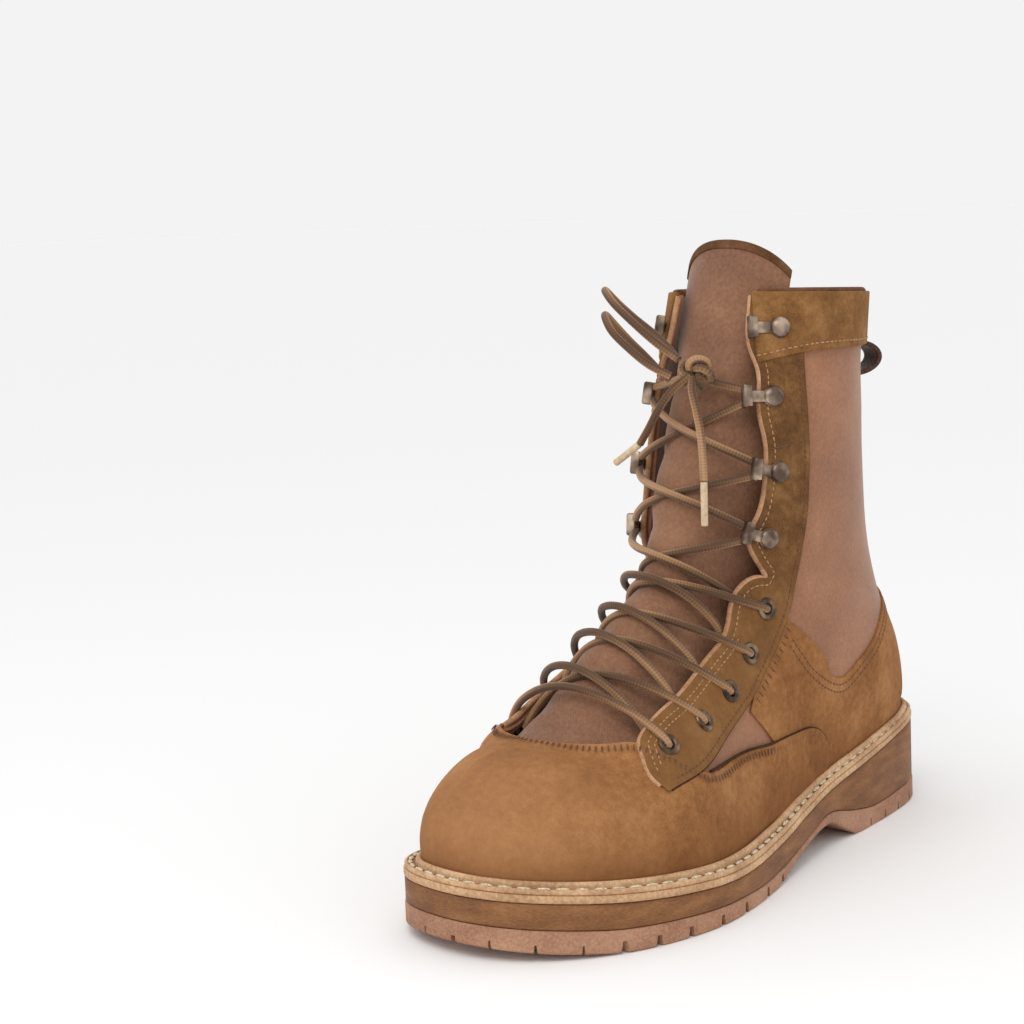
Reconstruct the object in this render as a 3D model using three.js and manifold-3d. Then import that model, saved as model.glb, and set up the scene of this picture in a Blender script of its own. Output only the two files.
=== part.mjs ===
// Combat boot, left foot, about EU 42: hollow laced upper on a welted, layered rubber sole.
// Millimetres, +Z up, toe towards -Y, outer (lateral) side of the foot towards +X.
// The origin is on the ground, below the middle of the outsole's box.
import * as THREE from "three";
import { mergeVertices } from "three/addons/utils/BufferGeometryUtils.js";
import Module from "manifold-3d";

const wasm = await Module();
wasm.setup();

// ---------- driving dimensions ----------
const HALF_LENGTH = 152; // half of the outsole's length
const WALL = 2.2; // leather and lining of the upper
const GAP = 0.3; // clearance between pieces that meet
const SEAT = 1; // upper's lower edge and insole above the slip sole
const RIB_CLEAR = 1.9; // welt's rib to the upper's lower edge
const WELT_WIDTH_TOE = 9; // welt from sole edge to upper, round the forefoot
const WELT_WIDTH_HEEL = 6.2; // and round the heel
const WELT_THICK = 2;
const RIB_WIDTH = 3; // raised rib of the welt beside the upper
const RIB_HEIGHT = 3.8;
const INSOLE_THICK = 3.5;
const INSOLE_CLEAR = 3.6; // insole's edge to the upper's inner face
const TOE_DOME = 50; // length of the rounded toe box
const TOE_HEIGHT = 70.5; // top of the toe box above the ground
const DOME_POWER = 2.25; // 2 is an ellipse, more is boxier
const SWELL = 1.03; // the upper's widest girth over its width at the welt
const TONGUE_DROP = 5; // tongue's face below the upper's face
const TONGUE_THICK = 3.4;
const LACE = 3.8; // lace diameter
const EYELET = { flange: 4.7, hole: 2.3, barrel: 2.8, rim: 0.9, lift: 0.75 };
const HOOK = { rivet: 4.2, neck: 4.2, thick: 1.3, reach: 13, bar: 9.6, barHigh: 4.4 };
const AGLET = 3; // diameter of the lace tips

// Outline of the sole: distances from the centre line at stations from heel to toe.
const OUTLINE = [
  { y: 152, lateral: 0, medial: 0 },
  { y: 149, lateral: 12.8, medial: 12.8 },
  { y: 142.5, lateral: 23.2, medial: 23.2 },
  { y: 130, lateral: 29.8, medial: 29.8 },
  { y: 108, lateral: 34.6, medial: 34.6 },
  { y: 80, lateral: 38.2, medial: 37.8 },
  { y: 46, lateral: 41.3, medial: 37 },
  { y: 20, lateral: 46.3, medial: 37.6 },
  { y: -8, lateral: 53, medial: 41.2 },
  { y: -38, lateral: 60.4, medial: 48.4 },
  { y: -66, lateral: 63.6, medial: 53.8 },
  { y: -91, lateral: 60, medial: 54.6 },
  { y: -115, lateral: 51, medial: 49.4 },
  { y: -133, lateral: 38.4, medial: 41.9 },
  { y: -144.5, lateral: 25.2, medial: 30.4 },
  { y: -150, lateral: 12.8, medial: 16.8 },
  { y: -152, lateral: 0, medial: 0 },
];

// Side profile of the sole along the foot: toe spring of the ground side, then the arch with its
// sloped heel breast, which is cut away from below; then the joints between the layers.
const TOE_SPRING = [[-152, 5.9], [-143, 4.2], [-131, 2.4], [-112, 0.5], [-98, 0], [152, 0]];
const ARCH = [[-12, -1], [-12, 0], [4, 4.6], [19, 8], [34, 10.4], [41, 10.9], [48, 10.8], [69.6, 0], [69.6, -1]];
const OUTSOLE_TOP = [[-152, 14.2], [-131, 11.4], [-111, 9.2], [-83, 8], [-50, 6.6], [-25, 5.8], [-8, 6.4],
  [20, 10.6], [46, 15.2], [69, 10.8], [90, 8.2], [125, 9.2], [152, 10.4]];
const SOLE_TOP = [[-152, 27.6], [-111, 22.8], [-82, 20.4], [-45, 18.5], [-10, 19.8], [20, 23.8], [50, 28.4],
  [98, 35.2], [152, 42]];
const SLIP_THICK = [[-152, 3.4], [0, 3.1], [152, 2.4]];

// Lugs: V notches in the outsole's edge at these stations, and the sipes across toe and heel.
const LUG_NOTCHES = [-113, -99, -84, -66, -48, -27, -10];
const NOTCH = { width: 6, depth: 4.6, inward: 17 };
const SIPE_ANGLES = [-64, -42, -20, 0, 20, 42, 64]; // round the toe, in degrees from straight ahead
const HEEL_SIPES = [83, 98, 113, 128];
const SIPE = { width: 2.2, depth: 2.6, inward: 9 };
const HEEL_SIPE = { width: 2.2, depth: 4, inward: 9 };

// Girth sections of the last from instep to collar. Each lies in a plane square to the boot's
// middle, from its front point on the instep to its back point on the welt line (back z null)
// or on the back seam. lateral and medial are the widest half widths where they exceed the
// sole's; ridge is the instep's offset; front and back are the powers of the two half arches.
const GIRTHS = [
  { fy: -84, fz: 76.5, by: -80, bz: null, lateral: 50, medial: 46, ridge: -6, front: 2, back: 2.1 },
  { fy: -74, fz: 84.5, by: -58, bz: null, lateral: 52, medial: 45.5, ridge: -5, front: 1.9, back: 2.1 },
  { fy: -64, fz: 93.5, by: -32, bz: null, lateral: 49, medial: 43.5, ridge: -4, front: 1.85, back: 2.1 },
  { fy: -54, fz: 102.5, by: -4, bz: null, lateral: 44.5, medial: 41, ridge: -3, front: 1.85, back: 2.1 },
  { fy: -45, fz: 110, by: 26, bz: null, lateral: 41, medial: 38.5, ridge: -2, front: 1.9, back: 2.1 },
  { fy: -38, fz: 116, by: 58, bz: null, lateral: 38.5, medial: 36.5, ridge: -1, front: 1.95, back: 2.2 },
  { fy: -31.5, fz: 121, by: 92, bz: null, lateral: 37.5, medial: 36.5, ridge: 0, front: 2, back: 2.3 },
  { fy: -26.5, fz: 125, by: 122, bz: null, lateral: 37, medial: 36.5, ridge: 0, front: 2, back: 2.5 },
  { fy: -24, fz: 127, by: 138, bz: null, lateral: 37, medial: 36.5, ridge: 0, front: 2, back: 2.6 },
  { fy: -22, fz: 129, by: 145.8, bz: 41.4, lateral: 37, medial: 36.5, ridge: 0, front: 2.05, back: 2.7 },
  { fy: -20, fz: 131.5, by: 145.8, bz: 56, lateral: 37, medial: 36, ridge: 0, front: 2.05, back: 2.7 },
  { fy: -17.8, fz: 136, by: 142, bz: 72, lateral: 36.5, medial: 35.5, ridge: 0, front: 2.1, back: 2.6 },
  { fy: -15.5, fz: 142.5, by: 134, bz: 87, lateral: 36.5, medial: 35.5, ridge: 0, front: 2.1, back: 2.45 },
  { fy: -12.5, fz: 150, by: 126, bz: 103, lateral: 37, medial: 36.5, ridge: 0, front: 2.1, back: 2.3 },
  { fy: -8.5, fz: 160, by: 118.5, bz: 124, lateral: 38, medial: 37.5, ridge: 0, front: 2.1, back: 2.2 },
  { fy: -3, fz: 171.5, by: 115, bz: 148, lateral: 38.8, medial: 38.5, ridge: 0, front: 2.1, back: 2.1 },
  { fy: 4.5, fz: 189, by: 113, bz: 178, lateral: 39, medial: 39, ridge: 0, front: 2.05, back: 2.05 },
  { fy: 13, fz: 211, by: 112, bz: 207, lateral: 38.8, medial: 38.8, ridge: 0, front: 2.05, back: 2.05 },
  { fy: 23, fz: 240, by: 114.5, bz: 236, lateral: 38.5, medial: 38.5, ridge: 0, front: 2.05, back: 2.05 },
  { fy: 33, fz: 268, by: 117, bz: 264, lateral: 38.5, medial: 38.5, ridge: 0, front: 2.05, back: 2.05 },
];

// Half width of the throat's opening, against the front point of the section it lies in.
const THROAT = [[-93, 0], [-90, 11], [-86, 20], [-81, 27.5], [-76, 30.5], [-68, 30], [-54, 29], [-42, 28],
  [-34, 27.6], [-26, 26.3], [-22, 25.4], [-20, 26.5], [-18, 30.3], [-16, 29], [-14, 27.5], [-10, 29.3],
  [-0.5, 29.5], [6, 26.6], [11.5, 25], [16, 21], [23, 18.5]];

// Lace stations seen from the side: five eyelets, then four speed hooks, bottom to top.
const EYELETS = [[-65.7, 67.6], [-40.8, 72.1], [-19, 80.1], [-0.9, 92.8], [14, 109.2]];
const HOOKS = [[16.7, 138.8], [23, 165.9], [25.5, 197], [33.1, 225.2]];
const LACED_HOOKS = 3; // the top pair of hooks stays free

// Free stretches of the lace: two bow loops and two ends, each from the knot.
const KNOT = { x: 9, y: 1, z: 208.5, wide: 16, deep: 13, high: 13 };
const LOOPS = [
  [[3, -5, 215.5], [-5, -9, 222.5], [-15, -11, 231], [-25, -10, 238.5], [-32, -6, 243], [-35.5, -0.5, 242.5],
    [-33, 3.5, 237.5], [-25, 4.5, 231], [-15, 3.5, 225], [-6, 2, 219], [-0.5, 1.5, 214]],
  [[2.5, -8, 208], [-5, -13, 213], [-13, -16, 220], [-21, -16.5, 227], [-27, -13, 232.5], [-30, -8.5, 233],
    [-28, -5, 228.5], [-21, -4.5, 222], [-13, -5, 216], [-6.5, -5, 210.5], [-1.5, -3.5, 206]],
];
const ENDS = [
  [[12, -6.5, 202], [15, -8, 194], [17.5, -9, 185], [19, -10, 175.5], [20, -11, 165.5]],
  [[3, -6.5, 203], [0, -9, 198.5], [-3.5, -10.3, 193], [-7.5, -10.8, 186.5], [-12.4, -11, 179.6]],
];
const AGLET_TIPS = [[20.5, -12, 147], [-25, -12, 171]];

// Finger loop on the back: its place beside the back seam, its ends' heights and its size.
const PULL_LOOP = { x: 14, low: 199, high: 215, out: 14, width: 12, thick: 2.2 };

const LEATHER = new THREE.MeshStandardMaterial({ color: "#a5764a", roughness: 0.85 });
const NYLON = new THREE.MeshStandardMaterial({ color: "#a87c62", roughness: 0.8 });
const RUBBER = new THREE.MeshStandardMaterial({ color: "#c7967a", roughness: 0.6 });
const MIDSOLE = new THREE.MeshStandardMaterial({ color: "#a06a42", roughness: 0.7 });
const TAN = new THREE.MeshStandardMaterial({ color: "#e0b48a", roughness: 0.7 });
const BRASS = new THREE.MeshStandardMaterial({ color: "#7d6a55", roughness: 0.45, metalness: 0.9 });
const CORD = new THREE.MeshStandardMaterial({ color: "#6e4c33", roughness: 0.8 });

// ---------- helpers ----------
const vec = (x, y, z) => new THREE.Vector3(x, y, z);

// Smooth monotone curve through [x, value] pairs.
function curve(pairs) {
  const x = pairs.map((p) => p[0]);
  const v = pairs.map((p) => p[1]);
  const slope = x.slice(1).map((_, i) => (v[i + 1] - v[i]) / (x[i + 1] - x[i]));
  const tangent = x.map((_, i) => {
    if (i === 0) return slope[0];
    if (i === x.length - 1) return slope[i - 1];
    const product = slope[i - 1] * slope[i];
    return product > 0 ? (2 * product) / (slope[i - 1] + slope[i]) : 0;
  });
  return (at) => {
    if (at <= x[0]) return v[0];
    if (at >= x[x.length - 1]) return v[v.length - 1];
    const i = x.findIndex((value) => value > at) - 1;
    const width = x[i + 1] - x[i];
    const t = (at - x[i]) / width;
    const t2 = t * t;
    const t3 = t2 * t;
    return (
      v[i] * (2 * t3 - 3 * t2 + 1) +
      v[i + 1] * (3 * t2 - 2 * t3) +
      width * (tangent[i] * (t3 - 2 * t2 + t) + tangent[i + 1] * (t3 - t2))
    );
  };
}

// Straight lines through [x, value] pairs.
function polyline(pairs) {
  return (at) => {
    const last = pairs.length - 2;
    const i = Math.min(last, Math.max(0, pairs.findIndex((p) => p[0] > at) - 1));
    const t = THREE.MathUtils.clamp((at - pairs[i][0]) / (pairs[i + 1][0] - pairs[i][0]), 0, 1);
    return THREE.MathUtils.lerp(pairs[i][1], pairs[i + 1][1], at >= pairs[last + 1][0] ? 1 : t);
  };
}

// A geometry as one closed, merged manifold solid with its faces outwards.
function solid(geometry) {
  const bare = new THREE.BufferGeometry().setAttribute("position", geometry.getAttribute("position"));
  bare.setIndex(geometry.index);
  const merged = mergeVertices(bare, 1e-4);
  const build = (triVerts) =>
    new wasm.Manifold(
      new wasm.Mesh({ numProp: 3, vertProperties: new Float32Array(merged.attributes.position.array), triVerts }),
    );
  const index = Array.from(merged.index.array);
  const faces = [];
  for (let i = 0; i < index.length; i += 3) {
    const [a, b, c] = index.slice(i, i + 3);
    if (a !== b && b !== c && c !== a) faces.push(a, b, c);
  }
  const made = build(new Uint32Array(faces));
  return made.volume() > 0 ? made : build(new Uint32Array(faces.reverse()));
}

// A manifold solid as a three.js geometry.
function geometryOf(made) {
  const mesh = made.getMesh();
  const geometry = new THREE.BufferGeometry();
  geometry.setAttribute("position", new THREE.BufferAttribute(new Float32Array(mesh.vertProperties), 3));
  geometry.setIndex(new THREE.BufferAttribute(new Uint32Array(mesh.triVerts), 1));
  geometry.computeVertexNormals();
  return geometry;
}

// A geometry from points and triangles.
function fromFaces(points, faces) {
  const geometry = new THREE.BufferGeometry().setFromPoints(points);
  geometry.setIndex(faces.flat());
  return geometry;
}

// A closed wall about an open surface: each point moves in along its normal but stays above a
// floor, and every free edge gets a rim.
function thicken(points, faces, inward, floor = () => -Infinity) {
  const seen = new Map();
  const merged = [];
  const at = points.map((p) => {
    const key = [p.x, p.y, p.z].map((c) => Math.round(c * 500)).join();
    if (!seen.has(key)) seen.set(key, merged.push(p) - 1);
    return seen.get(key);
  });
  const kept = faces.map((f) => f.map((i) => at[i])).filter(([a, b, c]) => a !== b && b !== c && c !== a);
  const normals = merged.map(() => vec(0, 0, 0));
  for (const [a, b, c] of kept) {
    const n = merged[b].clone().sub(merged[a]).cross(merged[c].clone().sub(merged[a]));
    for (const i of [a, b, c]) normals[i].add(n);
  }
  normals.forEach((n) => n.normalize());
  const count = merged.length;
  const inner = merged.map((p, i) => p.clone().addScaledVector(normals[i], -inward));
  for (const p of inner) p.z = Math.max(p.z, floor(p.y));
  const edges = new Set(kept.flatMap(([a, b, c]) => [a + "," + b, b + "," + c, c + "," + a]));
  const rims = [...edges]
    .map((edge) => edge.split(",").map(Number))
    .filter(([a, b]) => !edges.has(b + "," + a))
    .flatMap(([a, b]) => [[b, a, a + count], [b, a + count, b + count]]);
  const back = kept.map(([a, b, c]) => [c + count, b + count, a + count]);
  return fromFaces([...merged, ...inner], [...kept, ...back, ...rims]);
}

// Triangles between the rows of a grid whose rows have the same length.
function gridFaces(rows, columns, closed = false) {
  const faces = [];
  for (let i = 0; i < rows - 1; i++) {
    for (let j = 0; j < (closed ? columns : columns - 1); j++) {
      const next = (j + 1) % columns;
      const [a, b] = [i * columns + j, i * columns + next];
      faces.push([a, a + columns, b], [b, a + columns, b + columns]);
    }
  }
  return faces;
}

// A round tube along a smooth curve through points.
const TUBE_SIDES = 6;
function tube(points, diameter, steps) {
  const section = new THREE.Shape().absarc(0, 0, diameter / 2, 0, 2 * Math.PI);
  const path = new THREE.CatmullRomCurve3(points.map((p) => (p.isVector3 ? p : vec(...p))));
  return new THREE.ExtrudeGeometry(section, { steps, curveSegments: TUBE_SIDES / 2, extrudePath: path });
}

// ---------- outline and layers of the sole ----------
const soleTop = curve(SOLE_TOP);
const outsoleTop = curve(OUTSOLE_TOP);
const ground = curve(TOE_SPRING);
const slipThick = curve(SLIP_THICK);

// The sole's outline as a closed loop: heel, lateral side, toe, medial side.
const OUTLINE_LOOP = (() => {
  const lateral = OUTLINE.map((o) => vec(o.lateral, o.y, 0));
  const medial = OUTLINE.slice(1, -1).reverse().map((o) => vec(-o.medial, o.y, 0));
  const loop = new THREE.CatmullRomCurve3([...lateral, ...medial], true, "centripetal");
  const perSpan = 3;
  const count = perSpan * (2 * OUTLINE.length - 2);
  return Array.from({ length: count }, (_, i) => loop.getPoint(i / count));
})();

// The outline moved inwards by a width that may change along the foot.
function inset(width) {
  const n = OUTLINE_LOOP.length;
  return OUTLINE_LOOP.map((p, i) => {
    const along = OUTLINE_LOOP[(i + 1) % n].clone().sub(OUTLINE_LOOP[(i + n - 1) % n]).normalize();
    return vec(p.x + along.y * width(p.y), p.y - along.x * width(p.y), 0);
  });
}

// Half widths of an outline loop on both sides, at a station along the foot.
function halfWidths(loop) {
  const toe = loop.length / 2;
  const side = (points) => polyline(points.map((p) => [p.y, Math.abs(p.x)]).sort((a, b) => a[0] - b[0]));
  const lateral = side(loop.slice(0, toe + 1));
  const medial = side([...loop.slice(toe), loop[0]]);
  return (y) => [lateral(y), medial(y)];
}

// A sole layer: the inset outline between two heights that change along the foot.
function layer(width, low, high) {
  const loop = inset(width);
  const toe = loop.length / 2;
  const rows = Array.from({ length: toe + 1 }, (_, i) => {
    const [a, b] = [loop[i], loop[(loop.length - i) % loop.length]];
    return [vec(a.x, a.y, low(a.y)), vec(a.x, a.y, high(a.y)), vec(b.x, b.y, high(b.y)), vec(b.x, b.y, low(b.y))];
  });
  return solid(fromFaces(rows.flat(), gridFaces(rows.length, 4, true)));
}

// ---------- the last: one surface for upper and tongue ----------
const weltWidth = (y) =>
  THREE.MathUtils.lerp(WELT_WIDTH_TOE, WELT_WIDTH_HEEL, THREE.MathUtils.clamp((y + 60) / 180, 0, 1));
const featherWidths = halfWidths(inset(weltWidth));
const TOE_TIP = -HALF_LENGTH + WELT_WIDTH_TOE;
const HEEL_BACK = HALF_LENGTH - WELT_WIDTH_HEEL;
const featherHeight = (y) => soleTop(y) + SEAT;
const FIELDS = ["fy", "fz", "by", "bz", "lateral", "medial", "ridge", "front", "back"];

// Sections of the toe box, a boxy dome from the tip to its full height, then the girths.
const DOME_ROWS = 8;
const SECTIONS = [];
for (let k = 0; k <= DOME_ROWS; k++) {
  const angle = ((Math.PI / 2) * k) / DOME_ROWS;
  const y = TOE_TIP + TOE_DOME * (1 - Math.max(Math.cos(angle), 0) ** (2 / DOME_POWER));
  const z = THREE.MathUtils.lerp(featherHeight(y), TOE_HEIGHT, Math.sin(angle) ** (2 / DOME_POWER));
  const ridge = (-6 * k) / DOME_ROWS;
  SECTIONS.push({ fy: y, fz: z, by: y, bz: null, lateral: 0, medial: 0, ridge, front: 2.2, back: 2.2 });
}
SECTIONS.push(...GIRTHS);
for (const s of SECTIONS) s.bz ??= featherHeight(s.by);
const HEEL_ROW = SECTIONS.findIndex((s) => s.by > HEEL_BACK - 0.01);
const COLLAR_ROW = SECTIONS.length - 2;
const TONGUE_ROW = SECTIONS.length - 1;

// The section at a fractional row, smooth through the table's rows.
function sectionAt(s) {
  const i = Math.min(Math.floor(s), SECTIONS.length - 2);
  const t = s - i;
  const [p1, p2] = [SECTIONS[i], SECTIONS[i + 1]];
  const out = {};
  for (const f of FIELDS) {
    const p0 = i > 0 ? SECTIONS[i - 1][f] : 2 * p1[f] - p2[f];
    const p3 = i + 2 < SECTIONS.length ? SECTIONS[i + 2][f] : 2 * p2[f] - p1[f];
    const [a, b] = [p1[f], p2[f]];
    const square = (2 * p0 - 5 * a + 4 * b - p3) * t * t;
    out[f] = 0.5 * (2 * a + (b - p0) * t + square + (3 * a - 3 * b + p3 - p0) * t * t * t);
  }
  if (s <= HEEL_ROW) {
    out.by = THREE.MathUtils.clamp(out.by, TOE_TIP, HEEL_BACK);
    out.bz = featherHeight(out.by);
  }
  return out;
}

// The larger of two widths, blended where they are close.
const smoothMax = (a, b) => (b > 0 ? 0.5 * (a + b + Math.hypot(a - b, 2)) : a);

// One side's half arch of a section, from the ridge (0) to its end, as points with lengths.
const ARCH_STEPS = 48;
const archCache = new Map();
function arch(s, side) {
  const key = s.toFixed(5) + side;
  if (archCache.has(key)) return archCache.get(key);
  const row = sectionAt(s);
  const end = s <= HEEL_ROW ? featherWidths(row.by)[side > 0 ? 0 : 1] : 0;
  const width = Math.max(smoothMax(end * SWELL, side > 0 ? row.lateral : row.medial), 1e-3);
  const last = Math.PI - Math.asin(Math.min(end / width, 1) ** (row.back / 2));
  const points = [];
  const lengths = [0];
  for (let k = 0; k <= ARCH_STEPS; k++) {
    const angle = (last * k) / ARCH_STEPS;
    const down = (1 - Math.cos(angle)) / (1 - Math.cos(last));
    const power = 2 / (angle < Math.PI / 2 ? row.front : row.back);
    const reach = k === ARCH_STEPS ? end : width * Math.abs(Math.sin(angle)) ** power;
    const x = row.ridge * (1 - down) + side * reach;
    points.push(vec(x, row.fy + (row.by - row.fy) * down, row.fz + (row.bz - row.fz) * down));
    if (k) lengths.push(lengths[k - 1] + points[k].distanceTo(points[k - 1]));
  }
  const made = { points, lengths, total: lengths[ARCH_STEPS] };
  archCache.set(key, made);
  return made;
}

// The point at a distance round a section from its ridge, lateral positive.
function skin(s, d) {
  const { points, lengths, total } = arch(s, d < 0 ? -1 : 1);
  const far = Math.min(Math.abs(d), total);
  const k = Math.max(1, lengths.findIndex((l) => l >= far - 1e-9));
  const t = (far - lengths[k - 1]) / Math.max(lengths[k] - lengths[k - 1], 1e-9);
  return points[k - 1].clone().lerp(points[k], t);
}

// Outward normal of the skin.
function skinNormal(s, d) {
  const [ds, dd] = [0.05, 0.6];
  const across = skin(s, d + dd).sub(skin(s, d - dd));
  const along = skin(Math.min(s + ds, TONGUE_ROW), d).sub(skin(Math.max(s - ds, 0), d));
  return across.cross(along).normalize();
}

// A point raised above the skin.
const above = (s, d, height) => skin(s, d).addScaledVector(skinNormal(s, d), height);

// The row and distance of the skin's point seen from the side at y, z.
function find(side, y, z) {
  const offset = (s) => {
    const row = sectionAt(s);
    return (row.by - row.fy) * (z - row.fz) - (row.bz - row.fz) * (y - row.fy);
  };
  let [low, high] = [DOME_ROWS, TONGUE_ROW];
  for (let k = 0; k < 40; k++) {
    const middle = (low + high) / 2;
    if (offset(middle) > 0) low = middle;
    else high = middle;
  }
  const { points, lengths, total } = arch(low, side);
  const reach = Math.hypot(y - points[0].y, z - points[0].z);
  const k = points.findIndex((p) => Math.hypot(p.y - points[0].y, p.z - points[0].z) >= reach);
  return { s: low, d: side * (k < 0 ? total : lengths[k]) };
}

// Distance from the ridge to the throat's edge on one side.
const throatGap = polyline(THROAT);
function throatEdge(s, side) {
  const gap = throatGap(sectionAt(s).fy);
  if (gap <= 0) return 0;
  const { points, lengths } = arch(s, side);
  const k = Math.max(1, points.findIndex((p) => side * p.x >= gap));
  const t = (gap - side * points[k - 1].x) / (side * (points[k].x - points[k - 1].x));
  return lengths[k - 1] + t * (lengths[k] - lengths[k - 1]);
}

// ---------- upper ----------
const THROAT_ROWS = [0.3, 0.6, 1.3, 1.6, 2.5]; // extra rows past the toe box for the throat's round end

function upper() {
  const columns = 8;
  const rows = Array.from({ length: COLLAR_ROW + 1 }, (_, s) => s);
  rows.push(...THROAT_ROWS.map((part) => DOME_ROWS + part), HEEL_ROW - 0.5, HEEL_ROW - 1.5, HEEL_ROW + 2.5);
  rows.sort((a, b) => a - b);
  const points = [];
  for (const s of rows) {
    for (const side of [1, -1]) {
      const edge = throatEdge(s, side);
      const total = arch(s, side).total;
      const line = [];
      for (let k = 0; k <= columns; k++) line.push(skin(s, side * THREE.MathUtils.lerp(total, edge, k / columns)));
      if (s >= HEEL_ROW) line[0].x = 0;
      points.push(...(side > 0 ? line : line.reverse()));
    }
  }
  const faces = gridFaces(rows.length, 2 * columns + 2).filter(
    (_, i) => Math.floor(i / 2) % (2 * columns + 1) !== columns,
  );
  let made = solid(thicken(points, faces, WALL, featherHeight));
  for (const side of [1, -1]) {
    for (const [y, z] of EYELETS) {
      const { s, d } = find(side, y, z);
      const hole = new THREE.CylinderGeometry(EYELET.barrel + 2 * GAP, EYELET.barrel + 2 * GAP, 12, 8);
      made = made.subtract(solid(place(hole, above(s, d, 0), skinNormal(s, d))));
    }
  }
  return made;
}

// A geometry turned so that its Y axis follows a direction, and moved to a point.
function place(geometry, point, direction, forward = null) {
  const y = direction.clone().normalize();
  const guide = forward ?? (Math.abs(y.z) < 0.9 ? vec(0, 0, 1) : vec(0, 1, 0));
  const x = guide.clone().addScaledVector(y, -guide.dot(y)).normalize();
  const turn = new THREE.Matrix4().makeBasis(x, y, x.clone().cross(y)).setPosition(point);
  return geometry.clone().applyMatrix4(turn);
}

// ---------- tongue ----------
const TONGUE_HALF = [[-95, 22], [-84, 30], [-70, 38], [-20, 40], [0, 42], [20, 45], [33, 45]];
function tongue() {
  const half = curve(TONGUE_HALF);
  const rows = [];
  for (let s = DOME_ROWS - 0.3; s <= TONGUE_ROW - 0.4; s++) rows.push(s);
  const columns = 13;
  const points = [];
  const top = (across) => TONGUE_ROW - 0.18 - 0.72 * across ** 2;
  for (const s of rows) {
    for (let k = 0; k < columns; k++) {
      const across = (2 * k) / (columns - 1) - 1;
      const row = THREE.MathUtils.mapLinear(s, rows[0], rows[rows.length - 1], rows[0], top(across));
      const reach = Math.min(half(sectionAt(row).fy), arch(row, Math.sign(across) || 1).total - 8);
      points.push(above(row, -across * reach, -TONGUE_DROP));
    }
  }
  return solid(thicken(points, gridFaces(rows.length, columns), TONGUE_THICK));
}

// ---------- sole, welt, insole ----------
// A prism across the foot with its outline in the side view.
function prism(outline, x0, x1) {
  const shape = new THREE.Shape(outline.map(([y, z]) => new THREE.Vector2(y, z)));
  const geometry = new THREE.ExtrudeGeometry(shape, { depth: x1 - x0, bevelEnabled: false });
  const turn = new THREE.Matrix4().makeBasis(vec(0, 1, 0), vec(0, 0, 1), vec(1, 0, 0));
  return geometry.applyMatrix4(turn.setPosition(x0, 0, 0));
}

function outsole() {
  let made = layer(() => 0, ground, outsoleTop);
  made = made.subtract(solid(prism(ARCH, -80, 80)));
  const widths = halfWidths(OUTLINE_LOOP);
  const notch = (y, { width, depth, inward }) => {
    const low = ground(y) - 1;
    const wedge = [[y - width / 2, low], [y + width / 2, low], [y + width / 6, low + 1 + depth],
      [y - width / 6, low + 1 + depth]];
    const [lateral, medial] = widths(y);
    made = made.subtract(solid(prism(wedge, lateral - inward, lateral + 5)));
    made = made.subtract(solid(prism(wedge, -medial - 5, -medial + inward)));
  };
  for (const y of LUG_NOTCHES) notch(y, NOTCH);
  for (const y of HEEL_SIPES) notch(y, HEEL_SIPE);
  for (const degrees of SIPE_ANGLES) {
    const angle = THREE.MathUtils.degToRad(degrees);
    const centre = vec(0, -HALF_LENGTH + 46, 0);
    const slot = new THREE.BoxGeometry(SIPE.width, 2 * SIPE.inward, 2 * SIPE.depth);
    const reach = OUTLINE_LOOP.reduce((best, p) => {
      const off = Math.abs(Math.atan2(p.x - centre.x, centre.y - p.y) - angle);
      return off < best.off ? { off, length: p.distanceTo(centre) } : best;
    }, { off: 9, length: 0 }).length;
    const [x, y] = [Math.sin(angle) * reach, centre.y - Math.cos(angle) * reach];
    slot.rotateZ(angle).translate(x, y, ground(y));
    made = made.subtract(solid(slot));
  }
  return made;
}

function welt() {
  const ribInner = (y) => weltWidth(y) - RIB_CLEAR;
  const ribOuter = (y) => ribInner(y) - RIB_WIDTH;
  const profile = [
    [() => 0.8, GAP],
    [() => 0.8, GAP + WELT_THICK],
    [ribOuter, GAP + WELT_THICK],
    [(y) => ribOuter(y) + 0.6, GAP + RIB_HEIGHT],
    [ribInner, GAP + RIB_HEIGHT],
    [ribInner, GAP],
  ].map(([width, height]) => inset(width).map((p) => vec(p.x, p.y, soleTop(p.y) + height)));
  const every = 2;
  const rows = OUTLINE_LOOP.map((_, i) => profile.map((loop) => loop[i])).filter((_, i) => i % every === 0);
  return solid(fromFaces([...rows, rows[0]].flat(), gridFaces(rows.length + 1, profile.length, true)));
}

// ---------- hardware ----------
function eyelet(s, d) {
  const { flange, hole, barrel, rim, lift } = EYELET;
  const low = -(WALL + lift + GAP);
  const profile = [[hole, low], [barrel, low], [barrel, 0], [flange, 0], [flange - 0.5, rim], [hole + 0.3, rim],
    [hole, low]];
  const ring = new THREE.LatheGeometry(profile.map(([r, z]) => new THREE.Vector2(r, z)), 10);
  return solid(place(ring, above(s, d, lift), skinNormal(s, d)));
}

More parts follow.
